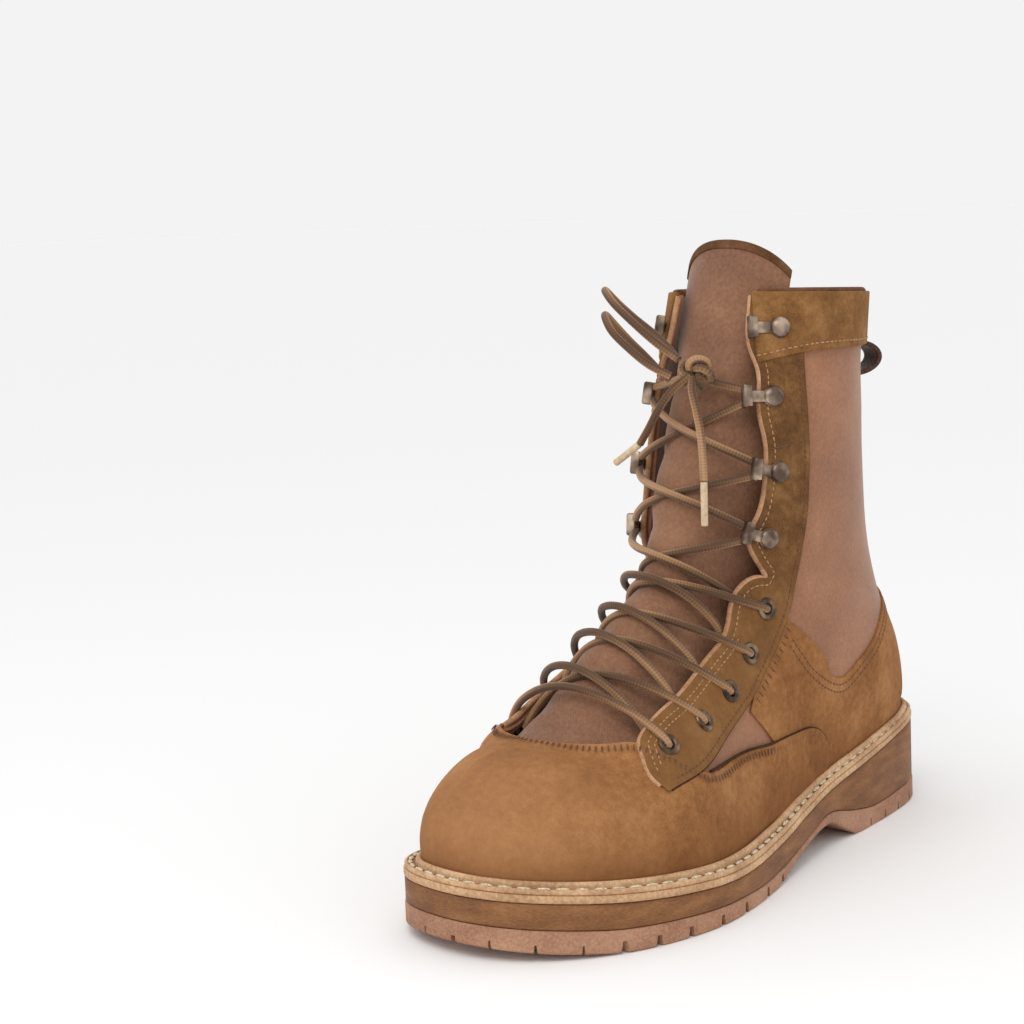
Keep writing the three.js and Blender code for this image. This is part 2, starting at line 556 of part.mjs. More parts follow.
// A speed hook: domed rivet, flat neck towards the throat and a cross bar across its end.
function hook(s, d) {
  const normal = skinNormal(s, d);
  const forward = skin(s, d - Math.sign(d) * 3).sub(skin(s, d));
  const base = above(s, d, 0.5);
  const { rivet, neck, reach, thick, bar, barHigh } = HOOK;
  const dome = [[0, 0], [rivet, 0], [rivet, thick], [rivet * 0.7, thick + 1.2], [0, thick + 1.6]];
  const head = new THREE.LatheGeometry(dome.map(([r, z]) => new THREE.Vector2(r, z)), 8);
  const plate = new THREE.BoxGeometry(reach, thick, neck).translate(reach / 2, thick / 2, 0);
  const cross = new THREE.BoxGeometry(2, barHigh, bar).translate(reach - 1, barHigh / 2, 0);
  return [plate, cross].reduce(
    (made, piece) => made.add(solid(place(piece, base, normal, forward))),
    solid(place(head, base, normal, forward)),
  );
}

function pullLoop() {
  const { x, low, high, out, width, thick } = PULL_LOOP;
  const middle = (low + high) / 2;
  const tall = (high - low) / 2;
  const shape = new THREE.Shape().absellipse(0, 0, out, tall, -Math.PI / 2, Math.PI / 2, false);
  shape.absellipse(0, 0, out - thick, tall - thick, Math.PI / 2, -Math.PI / 2, true);
  const strap = new THREE.ExtrudeGeometry(shape, { depth: width, bevelEnabled: false, curveSegments: 12 });
  strap.translate(0, 0, -width / 2);
  const row = COLLAR_ROW - 1;
  const total = arch(row, 1).total;
  let d = total;
  while (skin(row, d).x < x) d -= 0.25;
  const point = skin(row, d);
  point.z = middle;
  const normal = skinNormal(row, d).setZ(0).normalize();
  const turn = new THREE.Matrix4().makeBasis(normal, vec(0, 0, 1), normal.clone().cross(vec(0, 0, 1)));
  return solid(strap.applyMatrix4(turn.setPosition(point.addScaledVector(normal, 1.2))));
}

// ---------- laces ----------
const OVER = 4.7; // height of a lace above the skin where it enters an eyelet from the top
const UNDER = { inside: 4, height: -1.7 }; // where a lace meets the throat's edge from below
const HOOKED = { inside: 4, height: 1.8, spread: 2.4 }; // where a lace leaves a hook's cross bar

const eyeletAt = (side, row) => {
  const { s, d } = find(side, ...EYELETS[row]);
  return { s, d, height: OVER };
};
const underEdge = (side, row) => {
  const { s } = find(side, ...EYELETS[row]);
  return { s, d: side * (throatEdge(s, side) - UNDER.inside), height: UNDER.height };
};
const hookEnd = (side, row, up) => {
  const [y, z] = HOOKS[row];
  const { s, d } = find(side, y, z + up * HOOKED.spread);
  return { s, d: side * (Math.abs(d) - HOOK.reach - HOOKED.inside), height: HOOKED.height };
};

// A lace between two places on the skin, following it at a height that passes lift halfway.
function strand(from, to, lift) {
  const points = [];
  const steps = 8;
  for (let k = 0; k <= steps; k++) {
    const f = k / steps;
    const ends = THREE.MathUtils.lerp(from.height, to.height, f);
    const bend = (lift - (from.height + to.height) / 2) * (1 - (2 * f - 1) ** 2);
    const s = THREE.MathUtils.lerp(from.s, to.s, f);
    points.push(above(s, THREE.MathUtils.lerp(from.d, to.d, f), ends + bend));
  }
  return solid(tube(points, LACE, 6));
}

// ---------- assembly ----------
const boot = new THREE.Group();
boot.name = "combat_boot";
function add(name, made, material) {
  const mesh = new THREE.Mesh(made.isBufferGeometry ? made : geometryOf(made), material);
  mesh.name = name;
  boot.add(mesh);
}

add("outsole", outsole(), RUBBER);
const slipBase = (y) => soleTop(y) - slipThick(y);
add("midsole", layer(() => 0, (y) => outsoleTop(y) + GAP, slipBase), MIDSOLE);
add("slip_sole", layer(() => 0, (y) => slipBase(y) + GAP, soleTop), TAN);
add("welt", welt(), TAN);
const insoleInset = (y) => weltWidth(y) + WALL + INSOLE_CLEAR;
add("insole", layer(insoleInset, featherHeight, (y) => featherHeight(y) + INSOLE_THICK), TAN);
add("upper", upper(), LEATHER);
add("tongue", tongue(), NYLON);
add("pull_loop", pullLoop(), CORD);

const SIDES = [["lateral", 1], ["medial", -1]];
for (const [name, side] of SIDES) {
  EYELETS.forEach(([y, z], i) => {
    const { s, d } = find(side, y, z);
    add("eyelet_" + name + "_" + (i + 1), eyelet(s, d), BRASS);
  });
  HOOKS.forEach(([y, z], i) => {
    const { s, d } = find(side, y, z);
    add("hook_" + name + "_" + (i + 1), hook(s, d), BRASS);
  });
}

const BELOW = 0.3; // lift of the lower strand of a crossing
const ATOP = 3.1; // and of the one that passes over it
add("lace_bar", strand(eyeletAt(1, 0), eyeletAt(-1, 0), 2.6), CORD);
const rows = EYELETS.length + LACED_HOOKS;
for (let i = 1; i < rows; i++) {
  const start = (side) => (i < EYELETS.length ? eyeletAt(side, i) : hookEnd(side, i - EYELETS.length, -1));
  const end = (side) =>
    i <= EYELETS.length ? underEdge(side, i - 1) : hookEnd(side, i - 1 - EYELETS.length, 1);
  const crossing = strand(start(1), end(-1), BELOW).add(strand(start(-1), end(1), ATOP));
  add("lace_crossing_" + i, crossing, CORD);
}

// The pair of laces leaves the last laced hooks and runs up behind the knot.
const KNOT_RISE = 4; // how far the middle of that run lies above its ends
const lastHooks = [1, -1].map((side) => hookEnd(side, LACED_HOOKS - 1, 1));
const middleRow = find(1, KNOT.y + 14, KNOT.z - KNOT_RISE).s;
const half = (from) => strand(from, { s: middleRow, d: -Math.sign(from.d) * 1, height: 1.2 }, 1.6);
add("lace_crossing_" + rows, half(lastHooks[0]).add(half(lastHooks[1])), CORD);

const knot = new THREE.SphereGeometry(1, 10, 7).scale(KNOT.wide / 2, KNOT.deep / 2, KNOT.high / 2);
add("lace_knot", solid(knot.translate(KNOT.x, KNOT.y, KNOT.z)), CORD);
LOOPS.forEach((points, i) => add("lace_loop_" + (i + 1), solid(tube(points, LACE, 15)), CORD));
ENDS.forEach((points, i) => {
  add("lace_end_" + (i + 1), solid(tube(points, LACE, 6)), CORD);
  const tip = vec(...AGLET_TIPS[i]);
  const start = vec(...points[points.length - 1]);
  const way = tip.clone().sub(start).normalize();
  start.addScaledVector(way, 3 * GAP);
  const length = tip.distanceTo(start);
  const pin = new THREE.CylinderGeometry(AGLET / 2, AGLET / 2, length, 8);
  add("aglet_" + (i + 1), solid(place(pin, start.addScaledVector(way, length / 2), way)), CORD);
});

// The outline's box is centred on the origin.
const across = OUTLINE_LOOP.map((p) => p.x);
boot.position.x = -(Math.max(...across) + Math.min(...across)) / 2;

export default boot;
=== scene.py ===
# %% [markdown]
# # A combat boot, left foot
# The boot is a laced upper on a layered, welted sole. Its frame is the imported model: every new
# piece is shaped around the same last, the wooden form that a shoemaker pulls the upper over.
# All sizes are in millimetres until a mesh is made, because a maker works in millimetres.

# %% Frame
import math

import bpy
import numpy as np
from mathutils import Matrix, Vector


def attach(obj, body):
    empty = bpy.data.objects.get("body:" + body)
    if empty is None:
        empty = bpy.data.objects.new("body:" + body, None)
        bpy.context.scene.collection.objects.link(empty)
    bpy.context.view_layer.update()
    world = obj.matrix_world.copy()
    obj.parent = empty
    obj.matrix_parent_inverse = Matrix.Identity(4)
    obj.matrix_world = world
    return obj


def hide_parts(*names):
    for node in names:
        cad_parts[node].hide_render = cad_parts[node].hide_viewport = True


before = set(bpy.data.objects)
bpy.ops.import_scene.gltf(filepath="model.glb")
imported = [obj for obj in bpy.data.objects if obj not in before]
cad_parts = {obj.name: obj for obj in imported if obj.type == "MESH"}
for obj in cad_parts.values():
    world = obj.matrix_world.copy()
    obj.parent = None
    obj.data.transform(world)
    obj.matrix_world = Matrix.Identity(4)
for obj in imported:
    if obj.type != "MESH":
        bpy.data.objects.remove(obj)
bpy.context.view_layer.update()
MM = 0.001
print("CAD nodes:", len(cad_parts))

# %% [markdown]
# ## Camera
# The boot is seen from in front of its outer side, a little above the floor, through a longish
# lens. The camera is turned by its azimuth and elevation, rolled slightly, and aimed at a point
# on the instep.

# %% Camera
CENTRE = -4.35  # the last's middle line stands this far from the box's middle
AZIMUTH, ELEVATION, ROLL = (math.radians(a) for a in (41.134, 7.750, -2.337))
DISTANCE, ASIDE, ALOFT = 934.407, -72.041, 19.929
LENS = 78.016
back = Vector((math.sin(AZIMUTH) * math.cos(ELEVATION), -math.cos(AZIMUTH) * math.cos(ELEVATION),
               math.sin(ELEVATION)))
level = (-back).cross(Vector((0, 0, 1))).normalized()
upright = level.cross(-back)
right = level * math.cos(ROLL) + upright * math.sin(ROLL)
up = upright * math.cos(ROLL) - level * math.sin(ROLL)
aim = Vector((CENTRE, 0, 130)) + right * ASIDE + up * ALOFT
lens = bpy.data.cameras.new("camera")
lens.lens = LENS
lens.clip_start = 0.01
camera = bpy.data.objects.new("camera", lens)
bpy.context.scene.collection.objects.link(camera)
turn = Matrix((right, up, back)).transposed().to_4x4()
camera.matrix_world = Matrix.Translation((aim + back * DISTANCE) * MM) @ turn
bpy.context.scene.camera = camera
print("camera at", [round(c, 3) for c in camera.matrix_world.translation])

# %% [markdown]
# ## The last
# The last is a row of sections from toe to collar. Each section lies in its own plane, from a
# front point on the instep to a back point on the welt line or the back seam, and is two half
# arches. The same tables shaped the CAD solids, so pieces made from them fit without any moving.

# %% The last's tables
OUTLINE = [  # station along the foot, outer half width, inner half width
    (152, 0, 0), (149, 12.8, 12.8), (142.5, 23.2, 23.2), (130, 29.8, 29.8), (108, 34.6, 34.6),
    (80, 38.2, 37.8),
    (46, 41.3, 37), (20, 46.3, 37.6), (-8, 53, 41.2), (-38, 60.4, 48.4), (-66, 63.6, 53.8), (-91, 60, 54.6),
    (-115, 51, 49.4), (-133, 38.4, 41.9), (-144.5, 25.2, 30.4), (-150, 12.8, 16.8), (-152, 0, 0),
]
TOE_SPRING = [(-152, 5.9), (-143, 4.2), (-131, 2.4), (-112, 0.5), (-98, 0), (152, 0)]
ARCH = [(-12, -1), (-12, 0), (4, 4.6), (19, 8), (34, 10.4), (41, 10.9), (48, 10.8), (69.6, 0), (69.6, -1)]
OUTSOLE_TOP = [(-152, 14.2), (-131, 11.4), (-111, 9.2), (-83, 8), (-50, 6.6), (-25, 5.8), (-8, 6.4),
               (20, 10.6),
               (46, 15.2), (69, 10.8), (90, 8.2), (125, 9.2), (152, 10.4)]
SOLE_TOP = [(-152, 27.6), (-111, 22.8), (-82, 20.4), (-45, 18.5), (-10, 19.8), (20, 23.8), (50, 28.4),
            (98, 35.2),
            (152, 42)]
SLIP_THICK = [(-152, 3.4), (0, 3.1), (152, 2.4)]
GIRTHS = [  # front y, z; back y, z (None: on the welt line); outer, inner half width; ridge; front, back power
    (-84, 76.5, -80, None, 50, 46, -6, 2, 2.1), (-74, 84.5, -58, None, 52, 45.5, -5, 1.9, 2.1),
    (-64, 93.5, -32, None, 49, 43.5, -4, 1.85, 2.1), (-54, 102.5, -4, None, 44.5, 41, -3, 1.85, 2.1),
    (-45, 110, 26, None, 41, 38.5, -2, 1.9, 2.1), (-38, 116, 58, None, 38.5, 36.5, -1, 1.95, 2.2),
    (-31.5, 121, 92, None, 37.5, 36.5, 0, 2, 2.3), (-26.5, 125, 122, None, 37, 36.5, 0, 2, 2.5),
    (-24, 127, 138, None, 37, 36.5, 0, 2, 2.6), (-22, 129, 145.8, 41.4, 37, 36.5, 0, 2.05, 2.7),
    (-20, 131.5, 145.8, 56, 37, 36, 0, 2.05, 2.7), (-17.8, 136, 142, 72, 36.5, 35.5, 0, 2.1, 2.6),
    (-15.5, 142.5, 134, 87, 36.5, 35.5, 0, 2.1, 2.45), (-12.5, 150, 126, 103, 37, 36.5, 0, 2.1, 2.3),
    (-8.5, 160, 118.5, 124, 38, 37.5, 0, 2.1, 2.2), (-3, 171.5, 115, 148, 38.8, 38.5, 0, 2.1, 2.1),
    (4.5, 189, 113, 178, 39, 39, 0, 2.05, 2.05), (13, 211, 112, 207, 38.8, 38.8, 0, 2.05, 2.05),
    (23, 240, 114.5, 236, 38.5, 38.5, 0, 2.05, 2.05), (33, 268, 117, 264, 38.5, 38.5, 0, 2.05, 2.05),
]
HALF_LENGTH = 152
WELT_WIDTH_TOE, WELT_WIDTH_HEEL = 9, 6.2
TOE_DOME, TOE_HEIGHT, DOME_POWER, DOME_ROWS = 50, 70.5, 2.25, 8
SWELL = 1.03
SEAT = 1


# %% Smooth curves
def curve(pairs):
    """Smooth monotone curve through (x, value) pairs."""
    x, v = np.array(pairs, float).T
    slope = np.diff(v) / np.diff(x)
    product = slope[:-1] * slope[1:]
    total = np.where(product > 0, slope[:-1] + slope[1:], 1)
    tangent = np.concatenate([slope[:1], np.where(product > 0, 2 * product / total, 0), slope[-1:]])

    def value(at):
        at = np.clip(at, x[0], x[-1])
        i = np.clip(np.searchsorted(x, at, side="right") - 1, 0, len(x) - 2)
        w = x[i + 1] - x[i]
        t = (at - x[i]) / w
        return (v[i] * (2 * t**3 - 3 * t**2 + 1) + v[i + 1] * (3 * t**2 - 2 * t**3)
                + w * (tangent[i] * (t**3 - 2 * t**2 + t) + tangent[i + 1] * (t**3 - t**2)))

    return value


def spline(points, steps, closed=False):
    """Centripetal Catmull-Rom line through points, with some steps in each span."""
    p = np.array(points, float)
    n = len(p)
    out = []
    for i in range(n if closed else n - 1):
        b, c = p[i], p[(i + 1) % n]
        a = p[i - 1] if closed or i else 2 * b - c
        d = p[(i + 2) % n] if closed or i + 2 < n else 2 * c - b
        k = [max(np.linalg.norm(q - r), 1e-6) ** 0.5 for q, r in ((b, a), (c, b), (d, c))]
        t0, t1, t2, t3 = 0, k[0], k[0] + k[1], sum(k)
        for step in range(steps):
            t = t1 + k[1] * step / steps
            a1 = ((t1 - t) * a + (t - t0) * b) / (t1 - t0)
            a2 = ((t2 - t) * b + (t - t1) * c) / (t2 - t1)
            a3 = ((t3 - t) * c + (t - t2) * d) / (t3 - t2)
            b1 = ((t2 - t) * a1 + (t - t0) * a2) / (t2 - t0)
            b2 = ((t3 - t) * a2 + (t - t1) * a3) / (t3 - t1)
            out.append(((t2 - t) * b1 + (t - t1) * b2) / (t2 - t1))
    if not closed:
        out.append(p[-1])
    return np.array(out)


def lengths(line):
    """Distance along a line at each of its points."""
    return np.concatenate([[0], np.cumsum(np.linalg.norm(np.diff(line, axis=0), axis=1))])


def resample(line, count):
    """The same line with evenly spaced points."""
    at = lengths(line)
    even = np.linspace(0, at[-1], count)
    return np.stack([np.interp(even, at, line[:, k]) for k in range(line.shape[1])], 1)


sole_top, outsole_top, ground, slip_thick = (curve(t) for t in (SOLE_TOP, OUTSOLE_TOP, TOE_SPRING,
                                                                SLIP_THICK))


# %% Outline of the sole
def outline(steps):
    """The sole's outline: heel, outer side, toe, inner side."""
    outer = [(o, y) for y, o, i in OUTLINE]
    inner = [(-i, y) for y, o, i in OUTLINE][-2:0:-1]
    return spline(outer + inner, steps, closed=True)


def inset(loop, width):
    """A loop moved inwards by a width that may change along the foot."""
    along = np.roll(loop, -1, 0) - np.roll(loop, 1, 0)
    along /= np.linalg.norm(along, axis=1)[:, None]
    return loop + np.stack([along[:, 1], -along[:, 0]], 1) * np.asarray(width).reshape(-1, 1)


def welt_width(y):
    return WELT_WIDTH_TOE + (WELT_WIDTH_HEEL - WELT_WIDTH_TOE) * np.clip((y + 60) / 180, 0, 1)


CAD_LOOP = outline(3)
FEATHER = inset(CAD_LOOP, welt_width(CAD_LOOP[:, 1]))
TOE_TIP, HEEL_BACK = -HALF_LENGTH + WELT_WIDTH_TOE, HALF_LENGTH - WELT_WIDTH_HEEL


def half_width(y, side):
    """Half width of the welt line at a station, on one side."""
    toe = len(FEATHER) // 2
    part = FEATHER[: toe + 1] if side > 0 else np.vstack([FEATHER[toe:], FEATHER[:1]])
    order = np.argsort(part[:, 1])
    return float(np.interp(y, part[order, 1], np.abs(part[order, 0])))


def feather_height(y):
    return sole_top(y) + SEAT


# %% Sections
SECTIONS = []
for k in range(DOME_ROWS + 1):
    angle = math.pi / 2 * k / DOME_ROWS
    y = TOE_TIP + TOE_DOME * (1 - max(math.cos(angle), 0) ** (2 / DOME_POWER))
    rise = math.sin(angle) ** (2 / DOME_POWER)
    z = feather_height(y) + (TOE_HEIGHT - feather_height(y)) * rise
    SECTIONS.append([y, z, y, feather_height(y), 0, 0, -6 * k / DOME_ROWS, 2.2, 2.2])
for row in GIRTHS:
    row = list(row)
    row[3] = feather_height(row[2]) if row[3] is None else row[3]
    SECTIONS.append(row)
SECTIONS = np.array(SECTIONS, float)
HEEL_ROW = int(np.argmax(SECTIONS[:, 2] > HEEL_BACK - 0.01))
SECTIONS[HEEL_ROW, 3] = feather_height(HEEL_BACK)
TONGUE_ROW = len(SECTIONS) - 1
COLLAR_ROW = TONGUE_ROW - 1
ARCH_STEPS = 96


def section_at(s):
    """The section at a fractional row."""
    i = min(int(s), len(SECTIONS) - 2)
    t = s - i
    a, b = SECTIONS[i], SECTIONS[i + 1]
    p = SECTIONS[i - 1] if i else 2 * a - b
    q = SECTIONS[i + 2] if i + 2 < len(SECTIONS) else 2 * b - a
    out = 0.5 * (2 * a + (b - p) * t + (2 * p - 5 * a + 4 * b - q) * t**2 + (3 * a - 3 * b + q - p) * t**3)
    if s <= HEEL_ROW:
        out[2] = np.clip(out[2], TOE_TIP, HEEL_BACK)
        out[3] = feather_height(out[2])
    return out


def half_arch(s, side, count):
    """Points round one side of a section, from the ridge to its end, evenly spaced."""
    fy, fz, by, bz, outer, inner, ridge, front, rear = section_at(s)
    end = half_width(by, side) if s <= HEEL_ROW else 0
    wide = outer if side > 0 else inner
    full = end * SWELL
    width = max(0.5 * (full + wide + math.hypot(full - wide, 2)) if wide > 0 else full, 1e-3)
    last = math.pi - math.asin(min(end / width, 1) ** (rear / 2))
    angle = np.linspace(0, last, ARCH_STEPS + 1)
    down = (1 - np.cos(angle)) / (1 - math.cos(last))
    reach = width * np.abs(np.sin(angle)) ** (2 / np.where(angle < math.pi / 2, front, rear))
    reach[-1] = end
    line = np.stack([ridge * (1 - down) + side * reach, fy + (by - fy) * down, fz + (bz - fz) * down], 1)
    return resample(line, count), lengths(line)[-1]


# %% [markdown]
# The skin of the last is worked out once on a fine grid. After that, any place on the boot is
# two numbers: the row s, from toe tip to tongue top, and t, from -1 on the inner side through 0
# on the ridge to 1 on the outer side. Past 1 it goes on round the back seam.

# %% The skin's grid
ROWS_EACH, COLUMNS = 16, 121
ROW_AT = np.linspace(0, TONGUE_ROW, TONGUE_ROW * ROWS_EACH + 1)
skin_rows, half_lengths = [], []
for s in ROW_AT:
    (outer, outer_length), (inner, inner_length) = (half_arch(s, side, COLUMNS) for side in (1, -1))
    skin_rows.append(np.vstack([inner[::-1], outer[1:]]))
    half_lengths.append((inner_length, outer_length))
SKIN = np.array(skin_rows)
SKIN[..., 0] += CENTRE
HALF_LENGTHS = np.array(half_lengths)
ACROSS_AT = np.linspace(-1, 1, SKIN.shape[1])


def normals_of(grid):
    across = np.gradient(grid, axis=1)
    along = np.gradient(grid, axis=0)
    n = np.cross(across, along)
    size = np.linalg.norm(n, axis=2, keepdims=True)
    n = n / np.maximum(size, 1e-9)
    n[:2] = n[2]
    closed = HEEL_ROW * ROWS_EACH
    n[closed:, 0] = n[closed:, -1] = (n[closed:, 0] + n[closed:, -1]) / 2
    return n


# %% [markdown]
# Worn-in leather isn't a perfect form. A few soft troughs and ridges go into the skin itself, so
# every panel that lies on it follows them: across the flex line behind the toe box, round the
# ankle where the shaft bends, and over the heel counter.

# %% Creases
CREASES = [  # middle x, y, z; direction x, y, z; half length; half width; height (negative: a trough)
    ((40, 4, 86), (0.1, 0.75, -0.6), 26, 5, -0.7),
    ((40, 14, 78), (0.1, 0.75, -0.6), 22, 4.5, 0.5),
    ((37, 52, 118), (0, 0.95, 0.15), 30, 6, -0.8),
    ((37, 60, 104), (0, 0.95, 0.25), 26, 5, 0.5),
    ((-37, 50, 116), (0, 0.95, 0.1), 28, 6, -0.8),
    ((-36, 62, 102), (0, 0.95, 0.25), 26, 5, 0.5),
    ((38, 60, 166), (0, 0.9, 0.3), 24, 9, -0.7),
    ((36, 80, 190), (0, 0.9, -0.2), 22, 10, 0.5),
    ((-38, 66, 172), (0, 0.9, -0.3), 24, 9, -0.7),
    ((52, -64, 44), (0.15, 0.9, 0.3), 20, 5, -0.45),
    ((20, 132, 92), (0.8, -0.5, 0.1), 20, 6, -0.5),
    ((-20, 132, 90), (0.8, 0.5, 0.1), 20, 6, -0.5),
]
relief = np.zeros(SKIN.shape[:2])
for middle, way, long, wide, height in CREASES:
    off = SKIN - (np.array(middle, float) + (CENTRE, 0, 0))
    way = np.array(way) / np.linalg.norm(way)
    along = off @ way
    aside = np.linalg.norm(off - along[..., None] * way, axis=2)
    relief += height * np.exp(-((along / long) ** 2) - (aside / wide) ** 2)
relief[:, 0] = relief[:, -1] = (relief[:, 0] + relief[:, -1]) / 2
SKIN += normals_of(SKIN) * relief[..., None]
NORMAL = normals_of(SKIN)
print("skin grid:", SKIN.shape, "deepest crease", round(float(relief.min()), 2), "mm")


# %% Places on the skin
def lookup(grid, s, t):
    """The value of a grid at rows s and fractions t, blended between its four nearest points."""
    t = np.where(np.asarray(t, float) > 1, np.asarray(t, float) - 2, t)
    i = np.clip(np.asarray(s, float), 0, TONGUE_ROW) * ROWS_EACH
    j = (np.clip(t, -1, 1) + 1) / 2 * (grid.shape[1] - 1)
    i0 = np.clip(i.astype(int), 0, grid.shape[0] - 2)
    j0 = np.clip(j.astype(int), 0, grid.shape[1] - 2)
    a, b = (i - i0)[..., None], (j - j0)[..., None]
    return ((1 - a) * (1 - b) * grid[i0, j0] + (1 - a) * b * grid[i0, j0 + 1]
            + a * (1 - b) * grid[i0 + 1, j0] + a * b * grid[i0 + 1, j0 + 1])


def above(s, t, height=0.0):
    """Points raised above the skin."""
    n = lookup(NORMAL, s, t)
    n /= np.linalg.norm(n, axis=-1, keepdims=True)
    return lookup(SKIN, s, t) + n * np.asarray(height, float)[..., None]


def locate(points, near=None):
    """Rows and fractions (s, t) of the skin's places nearest to points."""
    found = []
    for p in np.atleast_2d(points):
        gap = ((SKIN - p) ** 2).sum(2)
        i, j = np.unravel_index(gap.argmin(), gap.shape)
        i, j = np.clip(i, 1, SKIN.shape[0] - 2), np.clip(j, 1, SKIN.shape[1] - 2)
        ways = np.stack([(SKIN[i + 1, j] - SKIN[i - 1, j]) / 2, (SKIN[i, j + 1] - SKIN[i, j - 1]) / 2], 1)
        step = np.clip(np.linalg.lstsq(ways, p - SKIN[i, j], rcond=None)[0], -1, 1)
        found.append((ROW_AT[i] + step[0] / ROWS_EACH,
                      ACROSS_AT[j] + step[1] * (ACROSS_AT[1] - ACROSS_AT[0])))
    return np.array(found)


def trace(points, count):
    """A smooth line through points in the last's own frame, as places on the skin."""
    line = resample(spline(points, 8), count) + (CENTRE, 0, 0)
    return locate(line)


def length_at(s, side):
    """Distance round the skin from the ridge to the end of one side."""
    return np.interp(s, ROW_AT, HALF_LENGTHS[:, 1 if side > 0 else 0])


# %% [markdown]
# ## Making meshes
# A panel of leather is a sheet with an even thickness that lies on the last. Drawing it by hand
# would need thousands of vertices on a doubly curved form, so its mesh is worked out: a grid on
# the skin between two cut lines, raised to two heights and closed round its edge. The modifiers
# that soften its edge are the ordinary ones.

# %% Mesh helpers
def select_only(obj):
    bpy.ops.object.select_all(action="DESELECT")
    obj.select_set(True)
    bpy.context.view_layer.objects.active = obj


def face_outwards(obj):
    """Turns every face of a closed mesh outwards."""
    select_only(obj)
    bpy.ops.object.mode_set(mode="EDIT")
    bpy.ops.mesh.select_all(action="SELECT")
    bpy.ops.mesh.normals_make_consistent(inside=False)
    bpy.ops.object.mode_set(mode="OBJECT")


def grid_faces(rows, columns, closed=False):
    faces = []
    for i in range(rows - 1):
        for j in range(columns if closed else columns - 1):
            k = (j + 1) % columns
            faces.append((i * columns + j, (i + 1) * columns + j, (i + 1) * columns + k, i * columns + k))
    return faces


def new_piece(name, points, faces, uv=None):
    """A mesh object from points in millimetres."""
    mesh = bpy.data.meshes.new(name)
    mesh.from_pydata((np.asarray(points) * MM).tolist(), [], faces)
    mesh.validate()
    if uv is not None:
        layer = mesh.uv_layers.new(name="UVMap")
        corner = np.empty(len(mesh.loops), int)
        mesh.loops.foreach_get("vertex_index", corner)
        layer.data.foreach_set("uv", (np.asarray(uv) * MM)[corner].ravel())
    obj = bpy.data.objects.new(name, mesh)
    bpy.context.scene.collection.objects.link(obj)
    return obj


def apply_modifier(obj, kind, **settings):
    modifier = obj.modifiers.new(kind.lower(), kind)
    for key, value in settings.items():
        setattr(modifier, key, value)
    select_only(obj)
    bpy.ops.object.modifier_apply(modifier=modifier.name)


def smooth(obj, degrees=40):
    select_only(obj)
    bpy.ops.object.shade_smooth_by_angle(angle=math.radians(degrees))


def finish(obj, material, replaces=(), edge=None):
    """Gives a piece its materials and its ride."""
    obj.data.materials.clear()
    obj.data.materials.append(material)
    if edge is not None:
        obj.data.materials.append(edge)
    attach(obj, "root")
    if replaces:
        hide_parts(*replaces)
    return obj


def sheet_piece(name, s, t, low, high, faces=None, holes=(), hole_radius=2.9, bevel=0.35):
    """A closed sheet over grids of places s, t, from height low to height high above the skin."""
    rows, columns = s.shape
    faces = grid_faces(rows, columns) if faces is None else faces
    base = above(s, t).reshape(-1, 3)
    out = lookup(NORMAL, s, t).reshape(-1, 3)
    _, first, inverse = np.unique(np.round(base / 0.04).astype(int), axis=0, return_index=True,
                                  return_inverse=True)
    weld = first[inverse.ravel()]
    across = lengths(base.reshape(rows, columns, 3)[rows // 2])
    along = lengths(base.reshape(rows, columns, 3)[:, columns // 3])
    uv = np.stack([g.ravel() for g in np.meshgrid(across, along)], 1)
    kept = []
    for face in faces:
        loop = [v for k, v in enumerate(face) if weld[v] != weld[face[k - 1]]]
        if len(loop) < 3:
            continue
        middle = base[loop].mean(0)
        if not any(np.linalg.norm(middle - hole) < hole_radius for hole in holes):
            kept.append(loop)
    turned = sum(float(np.cross(base[f[1]] - base[f[0]], base[f[2]] - base[f[0]]) @ out[f[0]]) for f in kept)
    if turned < 0:
        kept = [f[::-1] for f in kept]
    summed = np.zeros_like(out)
    np.add.at(summed, weld, out)
    out = summed[weld] / np.maximum(np.linalg.norm(summed[weld], axis=1, keepdims=True), 1e-9)
    raised = [base[weld] + out * np.broadcast_to(h, s.shape).reshape(-1, 1)[weld] for h in (high, low)]
    n = rows * columns
    edges = {(weld[f[k - 1]], weld[f[k]]): (f[k - 1], f[k]) for f in kept for k in range(len(f))}
    rim = [pair for (a, b), pair in edges.items() if (b, a) not in edges]
    corners = [*kept, *([v + n for v in f[::-1]] for f in kept), *([b, a, a + n, b + n] for a, b in rim)]
    both = np.concatenate([weld, weld + n])
    mesh = bpy.data.meshes.new(name)
    mesh.from_pydata((np.vstack(raised) * MM).tolist(), [], [[int(both[v]) for v in f] for f in corners])
    layer = mesh.uv_layers.new(name="UVMap")
    flat = np.concatenate([np.array(f) % n for f in corners])
    layer.data.foreach_set("uv", (uv[flat] * MM).ravel())
    mesh.polygons.foreach_set("material_index", [0] * len(kept) + [1] * (len(corners) - len(kept)))
    obj = bpy.data.objects.new(name, mesh)
    bpy.context.scene.collection.objects.link(obj)
    select_only(obj)
    bpy.ops.object.mode_set(mode="EDIT")
    bpy.ops.mesh.select_all(action="SELECT")
    bpy.ops.mesh.delete_loose()
    bpy.ops.object.mode_set(mode="OBJECT")
    if bevel:
        apply_modifier(obj, "BEVEL", width=bevel * MM, segments=2, limit_method="ANGLE",
                       angle_limit=math.radians(50))
    smooth(obj, 45)
    return obj


def ribbon(first, second, across):
    """Grids of places between two cut lines with the same number of points."""
    f = np.linspace(0, 1, across)[None, :]
    return tuple(first[:, k, None] * (1 - f) + second[:, k, None] * f for k in (0, 1))


